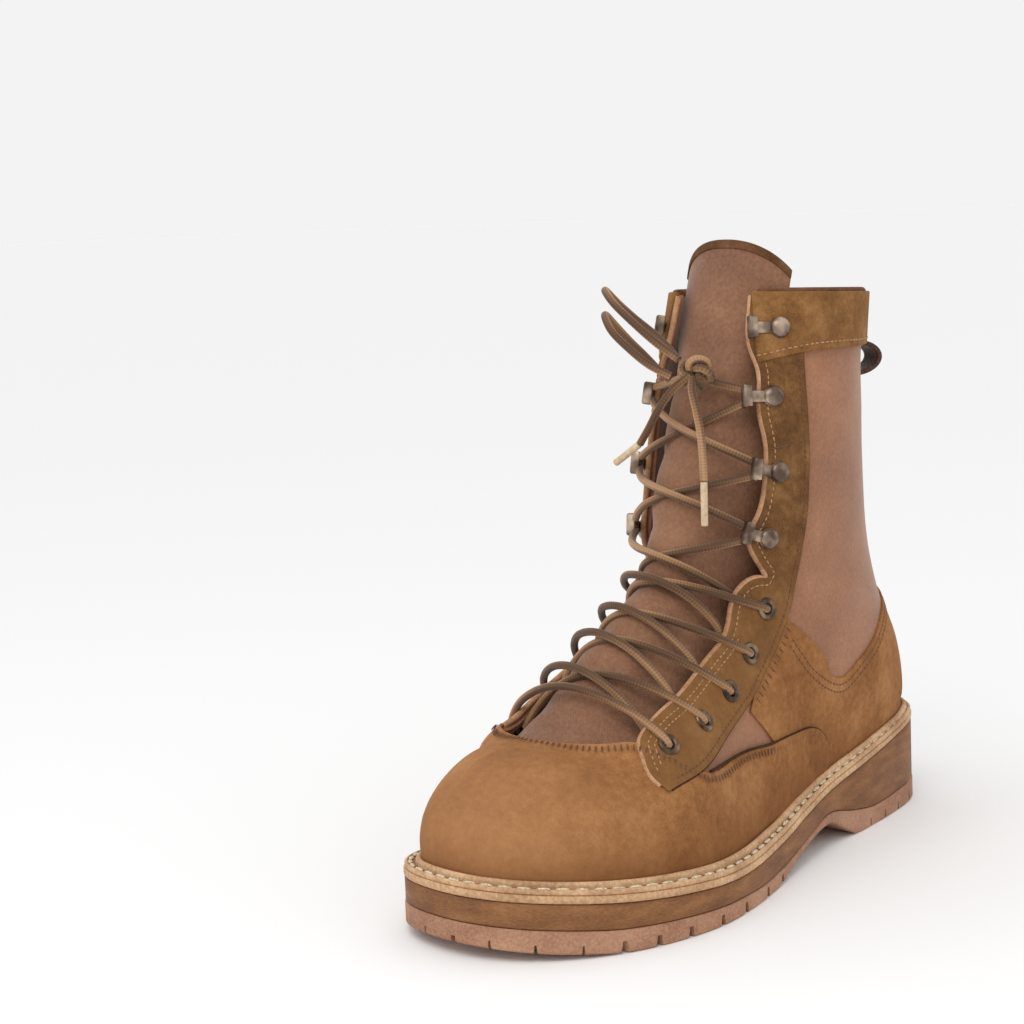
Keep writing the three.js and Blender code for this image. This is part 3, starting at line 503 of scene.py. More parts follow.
# %% [markdown]
# ## Materials
# Colours are written as sRGB hex values, as a colour picker shows them, and one function turns
# them into the linear values that the shader needs. Another adds a node with its settings and
# links. Each pattern's scale comes from the size of the real thing in millimetres.

# %% Colour and node helpers
def colour(code):
    """Linear RGBA from an sRGB hex value."""
    parts = [int(code[i : i + 2], 16) / 255 for i in (1, 3, 5)]
    return tuple(c / 12.92 if c <= 0.04045 else ((c + 0.055) / 1.055) ** 2.4 for c in parts) + (1,)


def add_node(tree, kind, inputs=None, **settings):
    """A node with its settings; an input is a value or another node's output."""
    made = tree.nodes.new(kind)
    for key, value in settings.items():
        setattr(made, key, value)
    for key, value in (inputs or {}).items():
        if isinstance(value, bpy.types.NodeSocket):
            tree.links.new(value, made.inputs[key])
        else:
            made.inputs[key].default_value = value
    return made


def new_material(name, **settings):
    """A material with only a Principled shader, whose sockets get the settings."""
    made = bpy.data.materials.new(name)
    made.use_nodes = True
    shader = made.node_tree.nodes["Principled BSDF"]
    for key, value in settings.items():
        shader.inputs[key.replace("_", " ")].default_value = value
    return made, made.node_tree, shader


def per_metre(size_mm):
    """A texture's scale for features of this size."""
    return 1 / (size_mm * MM)


def ramp(tree, factor, stops):
    """A colour ramp with (position, hex) stops."""
    made = add_node(tree, "ShaderNodeValToRGB", {"Fac": factor})
    elements = made.color_ramp.elements
    while len(elements) < len(stops):
        elements.new(0.5)
    for element, (position, code) in zip(elements, stops):
        element.position = position
        element.color = colour(code)
    return made.outputs["Color"]


# %% [markdown]
# **Rough-out suede** is cowhide with the flesh side outwards. It scatters light from a short nap,
# so it has no gloss but a faint sheen at grazing angles. The dye takes unevenly, in soft clouds
# a few centimetres wide, and the nap lies in small patches that look lighter or darker.

# %% Suede
def suede(name, dark, main, light, cloud_mm=24, patch_mm=3.2, tints=()):
    """Suede; each tint is an axis, where it starts and is full in metres, its strength and hex."""
    made, tree, shader = new_material(name, Roughness=0.92, Sheen_Weight=0.22, Sheen_Roughness=0.45)
    shader.inputs["Specular IOR Level"].default_value = 0.18
    shader.inputs["Sheen Tint"].default_value = colour(light)
    place = add_node(tree, "ShaderNodeTexCoord").outputs["Object"]
    clouds = add_node(tree, "ShaderNodeTexNoise",
                      {"Vector": place, "Scale": per_metre(cloud_mm), "Detail": 3.0})
    patches = add_node(tree, "ShaderNodeTexNoise",
                       {"Vector": place, "Scale": per_metre(patch_mm), "Detail": 5.0,
                                                    "Roughness": 0.62})
    nap = add_node(tree, "ShaderNodeTexNoise", {"Vector": place, "Scale": per_metre(0.7), "Detail": 3.0})
    both = add_node(tree, "ShaderNodeMix", {0: 0.42, 2: clouds.outputs["Fac"], 3: patches.outputs["Fac"]})
    grain = add_node(tree, "ShaderNodeMix", {0: 0.22, 2: both.outputs[0], 3: nap.outputs["Fac"]})
    shade = ramp(tree, grain.outputs[0], [(0.34, dark), (0.5, main), (0.66, light)])
    axes = add_node(tree, "ShaderNodeSeparateXYZ", {"Vector": place})
    for axis, start, full, strength, code in tints:
        amount = add_node(tree, "ShaderNodeMapRange", {"Value": axes.outputs[axis], "From Min": start,
                                                       "From Max": full, "To Max": strength})
        shade = add_node(tree, "ShaderNodeMix", {0: amount.outputs[0], 6: shade, 7: colour(code)},
                         data_type="RGBA").outputs[2]
    tree.links.new(shade, shader.inputs["Base Color"])
    height = add_node(tree, "ShaderNodeMix", {0: 0.5, 2: nap.outputs["Fac"], 3: patches.outputs["Fac"]})
    bump = add_node(tree, "ShaderNodeBump", {"Strength": 0.35, "Distance": 0.35 * MM,
                                             "Height": height.outputs[0]})
    tree.links.new(bump.outputs["Normal"], shader.inputs["Normal"])
    return made


# The vamp's two tints paint light: a painted highlight lightens the toe, and painted shade darkens the suede
# low along the welt.
VAMP_SUEDE = suede("rough_out_suede_caramel", "#734827", "#93633a", "#ae7e51",
                   tints=[("Y", -0.08, -0.14, 0.45, "#b5835a"), ("Z", 0.05, 0.026, 0.5, "#734827")])
STAY_SUEDE = suede("rough_out_suede_olive_brown", "#4b321c", "#6d4a2a", "#8b653e", cloud_mm=16,
                   tints=[("Z", 0.14, 0.085, 0.38, "#96683c")])
BAND_SUEDE = suede("rough_out_suede_band", "#5f4024", "#855c34", "#a0774b", cloud_mm=16)
# Dark suede for the painted shadow lines along some panel edges.
PAINTED_SHADOW_LINE = suede("suede_painted_shadow_line", "#2c1b10", "#3d2616", "#553822", cloud_mm=9, patch_mm=1.4)
RAW_EDGE = suede("cut_leather_edge", "#8a6246", "#b08463", "#c9a07e", cloud_mm=9, patch_mm=1.4)
BINDING = suede("suede_binding", "#452c1b", "#624128", "#7b573a", cloud_mm=12)


# %% [markdown]
# **Nylon duck** is a plain weave of thick, slightly shiny threads. The threads are 0.5 to 0.6 mm
# apart on the real cloth; here they are 0.9 mm apart, because finer ones blur away. The weave
# reads the panel's own UV map, which is laid out in real sizes along the cloth.

# %% Woven cloth
def weave(name, dark, main, light, thread_mm=0.9, strength=0.35, sheen=0.3):
    made, tree, shader = new_material(name, Roughness=0.72, Sheen_Weight=sheen, Sheen_Roughness=0.4)
    shader.inputs["Specular IOR Level"].default_value = 0.3
    coordinates = add_node(tree, "ShaderNodeTexCoord")
    split = add_node(tree, "ShaderNodeSeparateXYZ", {"Vector": coordinates.outputs["UV"]})
    waves = []
    for axis in ("X", "Y"):
        turns = add_node(tree, "ShaderNodeMath", {0: split.outputs[axis], 1: math.pi * per_metre(thread_mm)},
                         operation="MULTIPLY")
        waves.append(add_node(tree, "ShaderNodeMath", {0: turns.outputs[0]}, operation="SINE").outputs[0])
    crossing = add_node(tree, "ShaderNodeMath", {0: waves[0], 1: waves[1]}, operation="MULTIPLY").outputs[0]
    threads = add_node(tree, "ShaderNodeMath", {0: crossing, 1: 0.5, 2: 0.5},
                       operation="MULTIPLY_ADD").outputs[0]
    clouds = add_node(tree, "ShaderNodeTexNoise",
                      {"Vector": coordinates.outputs["Object"], "Scale": per_metre(30),
                                                   "Detail": 3.0}).outputs["Fac"]
    slubs = add_node(tree, "ShaderNodeTexNoise",
                     {"Vector": coordinates.outputs["Object"], "Scale": per_metre(1.6),
                                                  "Detail": 2.0}).outputs["Fac"]
    mixed = add_node(tree, "ShaderNodeMix", {0: 0.4, 2: clouds, 3: slubs}).outputs[0]
    shade = add_node(tree, "ShaderNodeMix", {0: 0.12, 2: mixed, 3: threads}).outputs[0]
    tree.links.new(ramp(tree, shade, [(0.3, dark), (0.5, main), (0.7, light)]), shader.inputs["Base Color"])
    bump = add_node(tree, "ShaderNodeBump", {"Strength": strength, "Distance": 0.25 * MM, "Height": threads})
    tree.links.new(bump.outputs["Normal"], shader.inputs["Normal"])
    return made


SIDE_NYLON = weave("nylon_duck_rose_brown", "#83583f", "#98684b", "#aa795a", thread_mm=0.6, strength=0.2)
TONGUE_NYLON = weave("nylon_duck_tongue", "#694734", "#875e45", "#9d7456", thread_mm=0.7, strength=0.25)
LINING = weave("textile_lining", "#6b4c36", "#8a6448", "#9f7858", thread_mm=1.2)
WEBBING = weave("polyester_webbing", "#2e1d14", "#4a3124", "#644535", thread_mm=1.4, strength=0.6)
for cloth in (SIDE_NYLON, TONGUE_NYLON, LINING, WEBBING):
    print("cloth:", cloth.name)


# %% [markdown]
# **Sole materials.** The outsole is moulded crepe-like rubber, the midsole a dyed and sanded
# layer with fine lines along its edge, and the slip sole and welt are pale veg-tanned leather.
# All three show a fine tooth and a few darker scuffs, so one function makes them.

# %% Sole materials
def edge_material(name, dark, main, light, roughness, tooth_mm, stretch=1.0, bump_height=0.2):
    made, tree, shader = new_material(name, Roughness=roughness)
    shader.inputs["Specular IOR Level"].default_value = 0.35
    place = add_node(tree, "ShaderNodeTexCoord").outputs["Object"]
    flat = add_node(tree, "ShaderNodeMapping", {"Vector": place, "Scale": (1, 1, stretch)}).outputs["Vector"]
    clouds = add_node(tree, "ShaderNodeTexNoise",
                      {"Vector": flat, "Scale": per_metre(20), "Detail": 4.0}).outputs["Fac"]
    tooth = add_node(tree, "ShaderNodeTexNoise",
                     {"Vector": flat, "Scale": per_metre(tooth_mm), "Detail": 4.0}).outputs["Fac"]
    shade = add_node(tree, "ShaderNodeMix", {0: 0.45, 2: clouds, 3: tooth}).outputs[0]
    tree.links.new(ramp(tree, shade, [(0.36, dark), (0.5, main), (0.64, light)]), shader.inputs["Base Color"])
    bump = add_node(tree, "ShaderNodeBump", {"Strength": 0.5, "Distance": bump_height * MM, "Height": tooth})
    tree.links.new(bump.outputs["Normal"], shader.inputs["Normal"])
    return made


OUTSOLE_RUBBER = edge_material("moulded_rubber_pinkish_tan", "#8b6049", "#a67a5f", "#b98e72", 0.7, 1.1)
MIDSOLE_EDGE = edge_material("sanded_midsole_brown", "#6a4428", "#82552f", "#96683f", 0.62, 1.6, stretch=4)
PALE_LEATHER = edge_material("veg_tanned_leather_pale", "#a37b58", "#c39b74", "#dcb892", 0.66, 1.3)
INSOLE_LEATHER = edge_material("insole_leather", "#8b6748", "#a98361", "#bb9673", 0.75, 1.5)


# %% [markdown]
# **Hardware** is antique bronze plating on brass: a dark brown metal, rubbed brighter where it
# is touched. **Thread** is bonded polyester, plain and slightly shiny, and the **lace** is a
# round braid in two browns: the braid's strands show as slanting ribs, and a lighter tracer
# runs along one side.

# %% Metal, thread and lace
def plated(name, dark, main, light):
    made, tree, shader = new_material(name, Metallic=0.8, Roughness=0.34)
    place = add_node(tree, "ShaderNodeTexCoord").outputs["Object"]
    wear = add_node(tree, "ShaderNodeTexNoise",
                    {"Vector": place, "Scale": per_metre(7), "Detail": 2.0}).outputs["Fac"]
    tree.links.new(ramp(tree, wear, [(0.35, dark), (0.52, main), (0.68, light)]), shader.inputs["Base Color"])
    return made


def thread(name, code):
    made, tree, shader = new_material(name, Roughness=0.6)
    place = add_node(tree, "ShaderNodeTexCoord").outputs["Object"]
    twist = add_node(tree, "ShaderNodeTexNoise",
                     {"Vector": place, "Scale": per_metre(0.8), "Detail": 2.0}).outputs["Fac"]
    dark = "#" + "".join(f"{int(int(code[i : i + 2], 16) * 0.72):02x}" for i in (1, 3, 5))
    tree.links.new(ramp(tree, twist, [(0.35, dark), (0.6, code)]), shader.inputs["Base Color"])
    return made


def braid(name, dark, main, light):
    made, tree, shader = new_material(name, Roughness=0.75, Sheen_Weight=0.2, Sheen_Roughness=0.4)
    uv = add_node(tree, "ShaderNodeTexCoord").outputs["UV"]
    split = add_node(tree, "ShaderNodeSeparateXYZ", {"Vector": uv})
    ribs = []
    for way in (1, -1):
        round_part = add_node(tree, "ShaderNodeMath",
                              {0: split.outputs["X"], 1: way * 2 * math.pi * 3 * per_metre(1)},
                              operation="MULTIPLY").outputs[0]
        slant = add_node(tree, "ShaderNodeMath",
                         {0: split.outputs["Y"], 1: 2 * math.pi * per_metre(2.6), 2: round_part},
                         operation="MULTIPLY_ADD").outputs[0]
        ribs.append(add_node(tree, "ShaderNodeMath", {0: slant}, operation="SINE").outputs[0])
    crossing = add_node(tree, "ShaderNodeMath", {0: ribs[0], 1: ribs[1]}, operation="MULTIPLY").outputs[0]
    height = add_node(tree, "ShaderNodeMath", {0: crossing, 1: 0.5, 2: 0.5},
                      operation="MULTIPLY_ADD").outputs[0]
    round_turn = add_node(tree, "ShaderNodeMath", {0: split.outputs["X"], 1: 2 * math.pi * per_metre(1)},
                          operation="MULTIPLY").outputs[0]
    drift = add_node(tree, "ShaderNodeMath", {0: split.outputs["Y"], 1: 2 * math.pi * per_metre(95),
                                              2: round_turn},
                     operation="MULTIPLY_ADD").outputs[0]
    tracer = add_node(tree, "ShaderNodeMath", {0: drift}, operation="SINE").outputs[0]
    side = add_node(tree, "ShaderNodeMath", {0: tracer, 1: 0.5, 2: 0.5}, operation="MULTIPLY_ADD").outputs[0]
    shade = add_node(tree, "ShaderNodeMix", {0: 0.3, 2: side, 3: height}).outputs[0]
    tree.links.new(ramp(tree, shade, [(0.2, dark), (0.5, main), (0.85, light)]), shader.inputs["Base Color"])
    bump = add_node(tree, "ShaderNodeBump", {"Strength": 0.6, "Distance": 0.4 * MM, "Height": height})
    tree.links.new(bump.outputs["Normal"], shader.inputs["Normal"])
    return made


BRONZE = plated("antique_bronze_plating", "#5a4a3f", "#8c7868", "#bda893")
DARK_BRONZE = plated("dark_bronze_plating", "#33281f", "#5c4a3b", "#937b64")
THREAD_BROWN = thread("polyester_thread_brown", "#6f4427")
THREAD_LIGHT = thread("polyester_thread_tan", "#b98a62")
THREAD_CREAM = thread("waxed_thread_cream", "#ead9b8")
LACE_BRAID = braid("braided_lace_two_browns", "#54371f", "#7f5a39", "#ab835c")
AGLET_PLASTIC = edge_material("pale_plastic_sleeve", "#b79c7c", "#d2b998", "#e2cdb0", 0.4, 2.0)

# %% [markdown]
# ## The cords
# The free lace is four stretches from one knot: two bow loops and two ends with plastic tips. A
# loose loop stands a little on its own stiffness and then droops, and an end hangs down the
# tongue. They come first, because they decide how far the model spreads.

# %% Tubes
LACE = 3.3


def tube(name, points, radius, sides=14, step=1.0, caps=True):
    """A round tube along a smooth line, with a UV map of turns round and millimetres along."""
    line = spline(points, 8)
    line = resample(line, max(6, int(lengths(line)[-1] / step)))
    tangent = np.gradient(line, axis=0)
    tangent /= np.linalg.norm(tangent, axis=1)[:, None]
    side = np.cross(tangent[0], (0.2, 0.3, 0.93))
    side /= np.linalg.norm(side)
    rings, along = [], lengths(line)
    angle = np.linspace(0, 2 * math.pi, sides, endpoint=False)
    for p, way in zip(line, tangent):
        side = side - way * (side @ way)
        side /= np.linalg.norm(side)
        other = np.cross(way, side)
        rings.append(p + radius * (np.cos(angle)[:, None] * side + np.sin(angle)[:, None] * other))
    n = len(line)
    points_all = np.vstack(rings)
    faces = grid_faces(n, sides, closed=True)
    if caps:
        faces.append(tuple(range(sides)))
        faces.append(tuple(reversed(range((n - 1) * sides, n * sides))))
    obj = new_piece(name, points_all, faces)
    layer = obj.data.uv_layers.new(name="UVMap")
    for polygon in obj.data.polygons:
        columns = [obj.data.loops[i].vertex_index % sides for i in polygon.loop_indices]
        wrap = max(columns) - min(columns) > sides / 2
        for i, column in zip(polygon.loop_indices, columns):
            turn_part = (column + (sides if wrap and column < sides / 2 else 0)) / sides
            row = obj.data.loops[i].vertex_index // sides
            layer.data[i].uv = (turn_part * MM, along[row] * MM)
    face_outwards(obj)
    smooth(obj, 60)
    return obj, line


# %% The knot, loops and ends
KNOT = (9, 1, 208.5)
LOOPS = [
    [(3, -5, 215.5), (-5, -9, 222.5), (-15, -11, 231), (-25, -10, 238.5), (-32, -6, 243),
     (-35.5, -0.5, 242.5),
     (-33, 3.5, 237.5), (-25, 4.5, 231), (-15, 3.5, 225), (-6, 2, 219), (-0.5, 1.5, 214)],
    [(2.5, -8, 208), (-5, -13, 213), (-13, -16, 220), (-21, -16.5, 227), (-27, -13, 232.5), (-30, -8.5, 233),
     (-28, -5, 228.5), (-21, -4.5, 222), (-13, -5, 216), (-6.5, -5, 210.5), (-1.5, -3.5, 206)],
]
ENDS = [
    [(10, -3, 207), (12, -6.5, 202), (15, -8, 194), (17.5, -9, 185), (19, -10, 175.5), (20, -11, 165.5)],
    [(8, -2, 208), (3, -6.5, 203), (0, -9, 198.5), (-3.5, -10.3, 193), (-7.5, -10.8, 186.5),
     (-12.4, -11, 179.6)],
]
AGLET_TIPS = [(20.5, -12, 147), (-25, -12, 171)]


def shifted(points):
    return np.array(points, float) + (CENTRE, 0, 0)


turn_at = np.linspace(0, 4 * math.pi, 61)[:-1]  # a tight knot: a line wound five times round a ring
winding = 1 + 0.5 * np.cos(2.5 * turn_at)
wound = np.stack([winding * np.cos(turn_at), -0.75 * np.sin(2.5 * turn_at), winding * np.sin(turn_at)], 1)
knot_line = shifted(KNOT) + wound * (4.6, 4.0, 4.2)
knot, _ = tube("lace_knot_tied", np.vstack([knot_line, knot_line[:2]]), LACE / 2)
finish(knot, LACE_BRAID, ["lace_knot"])
for i, (end, tip) in enumerate(zip(ENDS, AGLET_TIPS), 1):
    start, tip = shifted(end[-1]), shifted(tip)
    aglet, _ = tube(f"lace_tip_{i}", [start + (tip - start) * 0.02, (start + tip) / 2, tip], 1.5, sides=16)
    select_only(aglet)
    apply_modifier(aglet, "BEVEL", width=0.4 * MM, segments=2, limit_method="ANGLE",
                   angle_limit=math.radians(60))
    finish(aglet, AGLET_PLASTIC, [f"aglet_{i}"])
for i, points in enumerate(LOOPS, 1):
    loop, line = tube(f"bow_loop_{i}", shifted(points), LACE / 2)
    finish(loop, LACE_BRAID, [f"lace_loop_{i}"])
    print("bow loop", i, round(lengths(line)[-1]), "mm")
for i, points in enumerate(ENDS, 1):
    end, line = tube(f"free_end_{i}", shifted(points), LACE / 2)
    finish(end, LACE_BRAID, [f"lace_end_{i}"])
    print("free end", i, round(lengths(line)[-1]), "mm")


# %% [markdown]
# ## The upper
# The cut lines of the panels come first, because pieces share them. Each is a short list of
# points on the outer side; the inner side is its mirror image round the ridge.

# %% Cut lines
STAY_FRONT = [(18.5, 28.1, 238.7), (20.3, 23.3, 220), (25, 23.2, 207), (26.6, 20.2, 191.5),
              (29.8, 19.9, 175.5),
              (29.8, 14.9, 152), (27.5, 8.8, 139), (29.2, 12.6, 129), (30.3, 16.7, 122.4), (28.6, 12, 122.6),
              (27.3, 7.2, 121.8), (25.4, 0.9, 117.3), (27.6, -10.6, 101.7), (27.6, -24.2, 93.6),
              (28.9, -45, 82.9),
              (29.9, -63.3, 76.5), (31.3, -74.3, 70.2), (36, -78.2, 64.3), (40.6, -80, 59), (46.2, -77.6, 53)]
STAY_REAR = [(33.5, 45, 238.5), (34.4, 40.7, 213.8), (36.2, 39.7, 190), (37.1, 38.9, 165.7),
             (35.3, 35.4, 134.4),
             (33.4, 25.5, 104.1), (35.4, 0.3, 79.9), (36.1, -10.4, 73.2), (45.1, -50.3, 57.9),
             (46.2, -77.6, 53)]
VAMP_TOP = [(36.9, 52, 33.6), (36.3, 50, 42.8), (37.5, 43.2, 51.2), (38.2, 34.8, 55.1), (38.7, 18.6, 55.5),
            (39.4, 1.7, 55.2), (43.6, -20.6, 57.1), (46.6, -52.7, 55.3), (38, -68, 64), (30.8, -75.6, 69.9),
            (20.4, -85.1, 70.2), (5.8, -91.9, 70.1), (-6, -94.3, 70.3)]
QUARTER_TOP = [(36.4, -8.8, 70), (34.6, 0, 80.5), (32.8, 19.4, 96), (32.9, 25, 103.6), (34.2, 29.4, 96.4),
               (35.7, 34.4, 89.4), (36.9, 43.5, 79.7), (37.1, 61.3, 71.6), (36.6, 75.8, 76.4),
               (35, 92.6, 84.6),
               (31.3, 104.3, 93.1), (18, 119, 101), (0, 127.6, 106)]
QUARTER_FRONT = [(36.4, -8.8, 70), (39.3, 3.3, 56), (42.5, 15, 38), (44.5, 18, 24.5)]
BAND_LOW = [(23.5, 23.5, 211), (26, 26, 211.7), (34.7, 41.6, 214.6), (38.4, 56.8, 215.2), (36.7, 79.2, 214.7),
            (27, 98, 214.4), (0, 111.8, 214)]
THROAT_FRONT = [(-6, -94.3, 70.3), (5.8, -91.9, 70.1), (20.4, -85.1, 70.2), (30.8, -75.6, 69.9)]
HEIGHTS = {"quarter": 1.0, "vamp": 1.1, "stay": 1.9, "band": 2.6, "backstay": 1.0}


def mirrored(line):
    return line * (1, -1)


stay_front, stay_rear = trace(STAY_FRONT, 150), trace(STAY_REAR, 150)
throat_line = np.vstack([trace(THROAT_FRONT, 24), stay_front[::-1][22:]])
throat_line = throat_line[np.argsort(throat_line[:, 0])]
THROAT_START = float(throat_line[0, 0])


def throat(s):
    """The throat's edge as a fraction t at a row; 0 in front of the throat."""
    return np.where(np.asarray(s) <= THROAT_START, 0, np.interp(s, throat_line[:, 0], throat_line[:, 1]))


print("throat starts at row", round(THROAT_START, 2), "and is",
      np.round(throat(np.array([10, 14, 20, 26])), 2))

# %% Stations of the lace
EYELETS = [(37.8, -65.7, 67.6), (36.1, -40.8, 72.1), (33.4, -19, 80.1), (32, -0.9, 92.8), (30.7, 14, 109.2)]
HOOKS = [(30.4, 16.7, 138.8), (32.4, 23, 165.9), (29.1, 25.5, 197), (28.3, 33.1, 225.2)]
eyelet_places = locate(shifted(EYELETS))
hook_places = locate(shifted(HOOKS))
hole_centres = [above(s, side * t) for s, t in eyelet_places for side in (1, -1)]

# %% [markdown]
# **The shell** is what holds the boot together: woven nylon with a textile lining inside, one
# sheet from the welt to the collar, open down the front. Suede panels are sewn over it, and it
# shows on the side of the shaft and in a small gore at the instep.

# %% Shell
shell_rows = np.arange(0, COLLAR_ROW + 0.01, 0.25)
shell_columns = 34
part = np.linspace(0, 1, shell_columns)
edge_t = np.clip(throat(shell_rows) + np.where(shell_rows > THROAT_START, 0.012, 0), 0, 0.9)[:, None]
outer_half = 1 - (1 - edge_t) * part
shell_t = np.hstack([outer_half, -outer_half[:, ::-1]])
shell_s = np.repeat(shell_rows[:, None], shell_t.shape[1], 1)
between = shell_columns - 1
shell_faces = [f for f in grid_faces(*shell_t.shape) if f[0] % (2 * shell_columns) != between]
shell = sheet_piece("upper_shell", shell_s, shell_t, -2.2, 0, shell_faces, hole_centres)
finish(shell, SIDE_NYLON, ["upper"], edge=LINING)
for face in shell.data.polygons:
    face.material_index = 0
centre_x = CENTRE * MM
shaft_y, lining_above, lining_behind = 0.07, 0.1, 0.03  # only the shaft's inside gets the lining
inside = [f for f in shell.data.polygons
          if f.normal.dot(Vector((f.center.x - centre_x, f.center.y - shaft_y, 0))) < 0
          and f.center.z > lining_above and f.center.y > lining_behind]
for face in inside:
    face.material_index = 1
print("shell:", len(shell.data.polygons), "faces,", len(inside), "of lining")


# %% [markdown]
# ** The panels.** The vamp wraps the toe and runs back as two wings. The quarters wrap the heel
# and dip in a U on each side. The eyestays carry the eyelets and hooks and taper to a point on
# the vamp. The collar band goes round the top. Cut edges look lighter, and thin dark lines along some edges
# are painted shadow.

# %% Vamp
vamp_top = trace(VAMP_TOP, 110)
vamp_top = np.vstack([vamp_top, mirrored(vamp_top[::-1][1:])])
welt_rows = np.concatenate([np.linspace(vamp_top[0, 0], 0, 72), np.zeros(38)])
welt_line = np.stack([welt_rows, np.concatenate([np.ones(72), np.linspace(1, 0, 39)[1:]])], 1)
welt_line = np.vstack([welt_line, mirrored(welt_line[::-1][1:])])
vamp_s, vamp_t = ribbon(welt_line, vamp_top, 34)
rear = np.clip((lookup(SKIN, vamp_s, vamp_t)[..., 1] + 14) / 22, 0, 1)
vamp_low = 1.0 * rear * rear * (3 - 2 * rear)
vamp = sheet_piece("vamp", vamp_s, vamp_t, 0.02 + vamp_low * 0.9, HEIGHTS["vamp"] + vamp_low, None,
                   hole_centres)
finish(vamp, VAMP_SUEDE, edge=RAW_EDGE)


# %% Quarters, eyestays, collar band and backstay
half_wing = trace(VAMP_TOP[:8], 90)


def back_line(start_row, end_row, count):
    rows = np.linspace(start_row, end_row, count)
    return np.stack([rows, np.ones(count)], 1)


def round_back(line):
    """The same places with the inner half of the back counted on past 1, ending on the seam."""
    line[:, 1] = np.where(line[:, 1] < 0, line[:, 1] + 2, line[:, 1])
    line[-1, 1] = 1
    return line


quarter_top = round_back(trace(QUARTER_TOP, 120))
quarter_front = trace(QUARTER_FRONT, 32)
quarter_front[-1, 1] = 1
quarter_end = float(quarter_top[-1, 0])
quarter_welt = np.vstack([quarter_front, back_line(float(quarter_front[-1, 0]), quarter_end, 89)[1:]])
quarter_s, quarter_t = ribbon(quarter_welt, quarter_top, 40)
stay_s, stay_t = ribbon(stay_front, stay_rear, 22)
for side, side_name in ((1, "lateral"), (-1, "medial")):
    quarter = sheet_piece(f"quarter_{side_name}", quarter_s, side * quarter_t, 0.02, HEIGHTS["quarter"], None,
                          hole_centres)
    finish(quarter, VAMP_SUEDE, edge=RAW_EDGE)
    stay = sheet_piece(f"eyestay_{side_name}", stay_s, side * stay_t, 0.02, HEIGHTS["stay"], None,
                       hole_centres,
                       bevel=0.5)
    finish(stay, STAY_SUEDE, edge=RAW_EDGE)
    fold_points = above(stay_front[:, 0], side * stay_front[:, 1], 0.55)
    fold, _ = tube(f"stay_fold_{side_name}", fold_points[::3], 1.35, sides=10, step=1.5)
    finish(fold, RAW_EDGE)
    # Thin dark tubes along the eyestay's rear edge and the vamp's wing are painted shadow lines under those
    # edges.
    line_points = above(stay_rear[4:, 0], side * stay_rear[4:, 1], 0.9)
    line, _ = tube(f"stay_rear_painted_shadow_{side_name}", line_points[::3], 0.75, sides=8, step=1.8)
    finish(line, PAINTED_SHADOW_LINE)
    wing = half_wing[:, :2] * (1, side)
    line, _ = tube(f"wing_edge_painted_shadow_{side_name}", above(wing[:, 0], wing[:, 1], 1.5)[::2], 0.6, sides=8,
                   step=1.8)
    finish(line, PAINTED_SHADOW_LINE)
band_low = round_back(trace(BAND_LOW, 70))
band_high = np.stack([np.full(70, COLLAR_ROW + 0.02), np.linspace(stay_front[0, 1], 1, 70)], 1)
both_low = np.vstack([band_low, (band_low * (1, -1) + (0, 2))[::-1][1:]])
both_high = np.vstack([band_high, (band_high * (1, -1) + (0, 2))[::-1][1:]])
band_s, band_t = ribbon(both_high, both_low, 16)
band = sheet_piece("collar_band", band_s, band_t, 0.02, HEIGHTS["band"], bevel=0.6)
finish(band, BAND_SUEDE, edge=RAW_EDGE)
strip_rows = np.linspace(quarter_end - 0.15, COLLAR_ROW - 0.7, 60)
strip_s = np.repeat(strip_rows[:, None], 9, 1)
strip_t = 1 + np.linspace(-0.075, 0.075, 9)[None, :] * np.ones((60, 1))
backstay = sheet_piece("backstay", strip_s, strip_t, 0.02, HEIGHTS["backstay"] + 0.4)
finish(backstay, STAY_SUEDE, edge=RAW_EDGE)

# %% [markdown]
# **The collar's lining** rolls over the top edge as a thin padded roll, so no raw edge rubs the
# leg. It is a tube along the collar.

# %% Collar roll
roll_t = np.linspace(float(stay_front[0, 1]) + 0.02, 2 - float(stay_front[0, 1]) - 0.02, 60)
roll_points = above(np.full(60, float(COLLAR_ROW)), roll_t, np.full(60, -0.9)) + (0, 0, 0.3)
roll, _ = tube("collar_roll", roll_points, 1.9, sides=12, step=2.5)
finish(roll, BINDING)

# %% [markdown]
# **The tongue** is a padded, woven flap behind the laces, taller than the collar and bound with
# suede along its top. It sits under the skin of the last and is pressed in where laces cross.

# %% Tongue
TONGUE_DROP, TONGUE_THICK = 5.3, 3.2
TONGUE_UNDER = 11  # how far the tongue reaches under the throat's edge
PRESSED = [77, 85, 95, 109, 126, 147, 175, 203]  # heights of the lace crossings


def tongue_grid(depth_rows, low_part, high_part, columns=41):
    """Places on the tongue between two fractions of its height, wider than the throat."""
    across = np.linspace(-1, 1, columns)
    part = np.linspace(low_part, high_part, depth_rows)[:, None]
    start, top = DOME_ROWS - 0.3, TONGUE_ROW - 0.16 - 0.5 * np.abs(across) ** 2.2
    s = start + (top - start)[None, :] * part
    side = np.where(across < 0, -1, 1)
    whole = np.where(side > 0, length_at(s, 1), length_at(s, -1))
    half = np.clip(throat(s) * whole + TONGUE_UNDER + 7 * np.clip((s - 25) / 2, 0, 1), 22, whole - 8)
    return s, across * np.minimum(half, 62) / whole


def tongue_height(s, t):
    z = lookup(SKIN, s, np.zeros_like(s))[..., 2]
    press = sum(np.exp(-(((z - p) / 4.5) ** 2)) for p in PRESSED)
    whole = np.where(t > 0, length_at(s, 1), length_at(s, -1))
    middle = np.exp(-((t * whole / 24) ** 2))
    laced_part = np.clip((218 - z) / 8, 0, 1)
    sunk = 2.6 * (1 - np.exp(-((np.maximum(np.abs(t * whole) - 14, 0) / 9) ** 2)))
    return -TONGUE_DROP + 0.3 - sunk * laced_part + (3.2 - 2.1 * np.minimum(press, 1)) * middle * laced_part


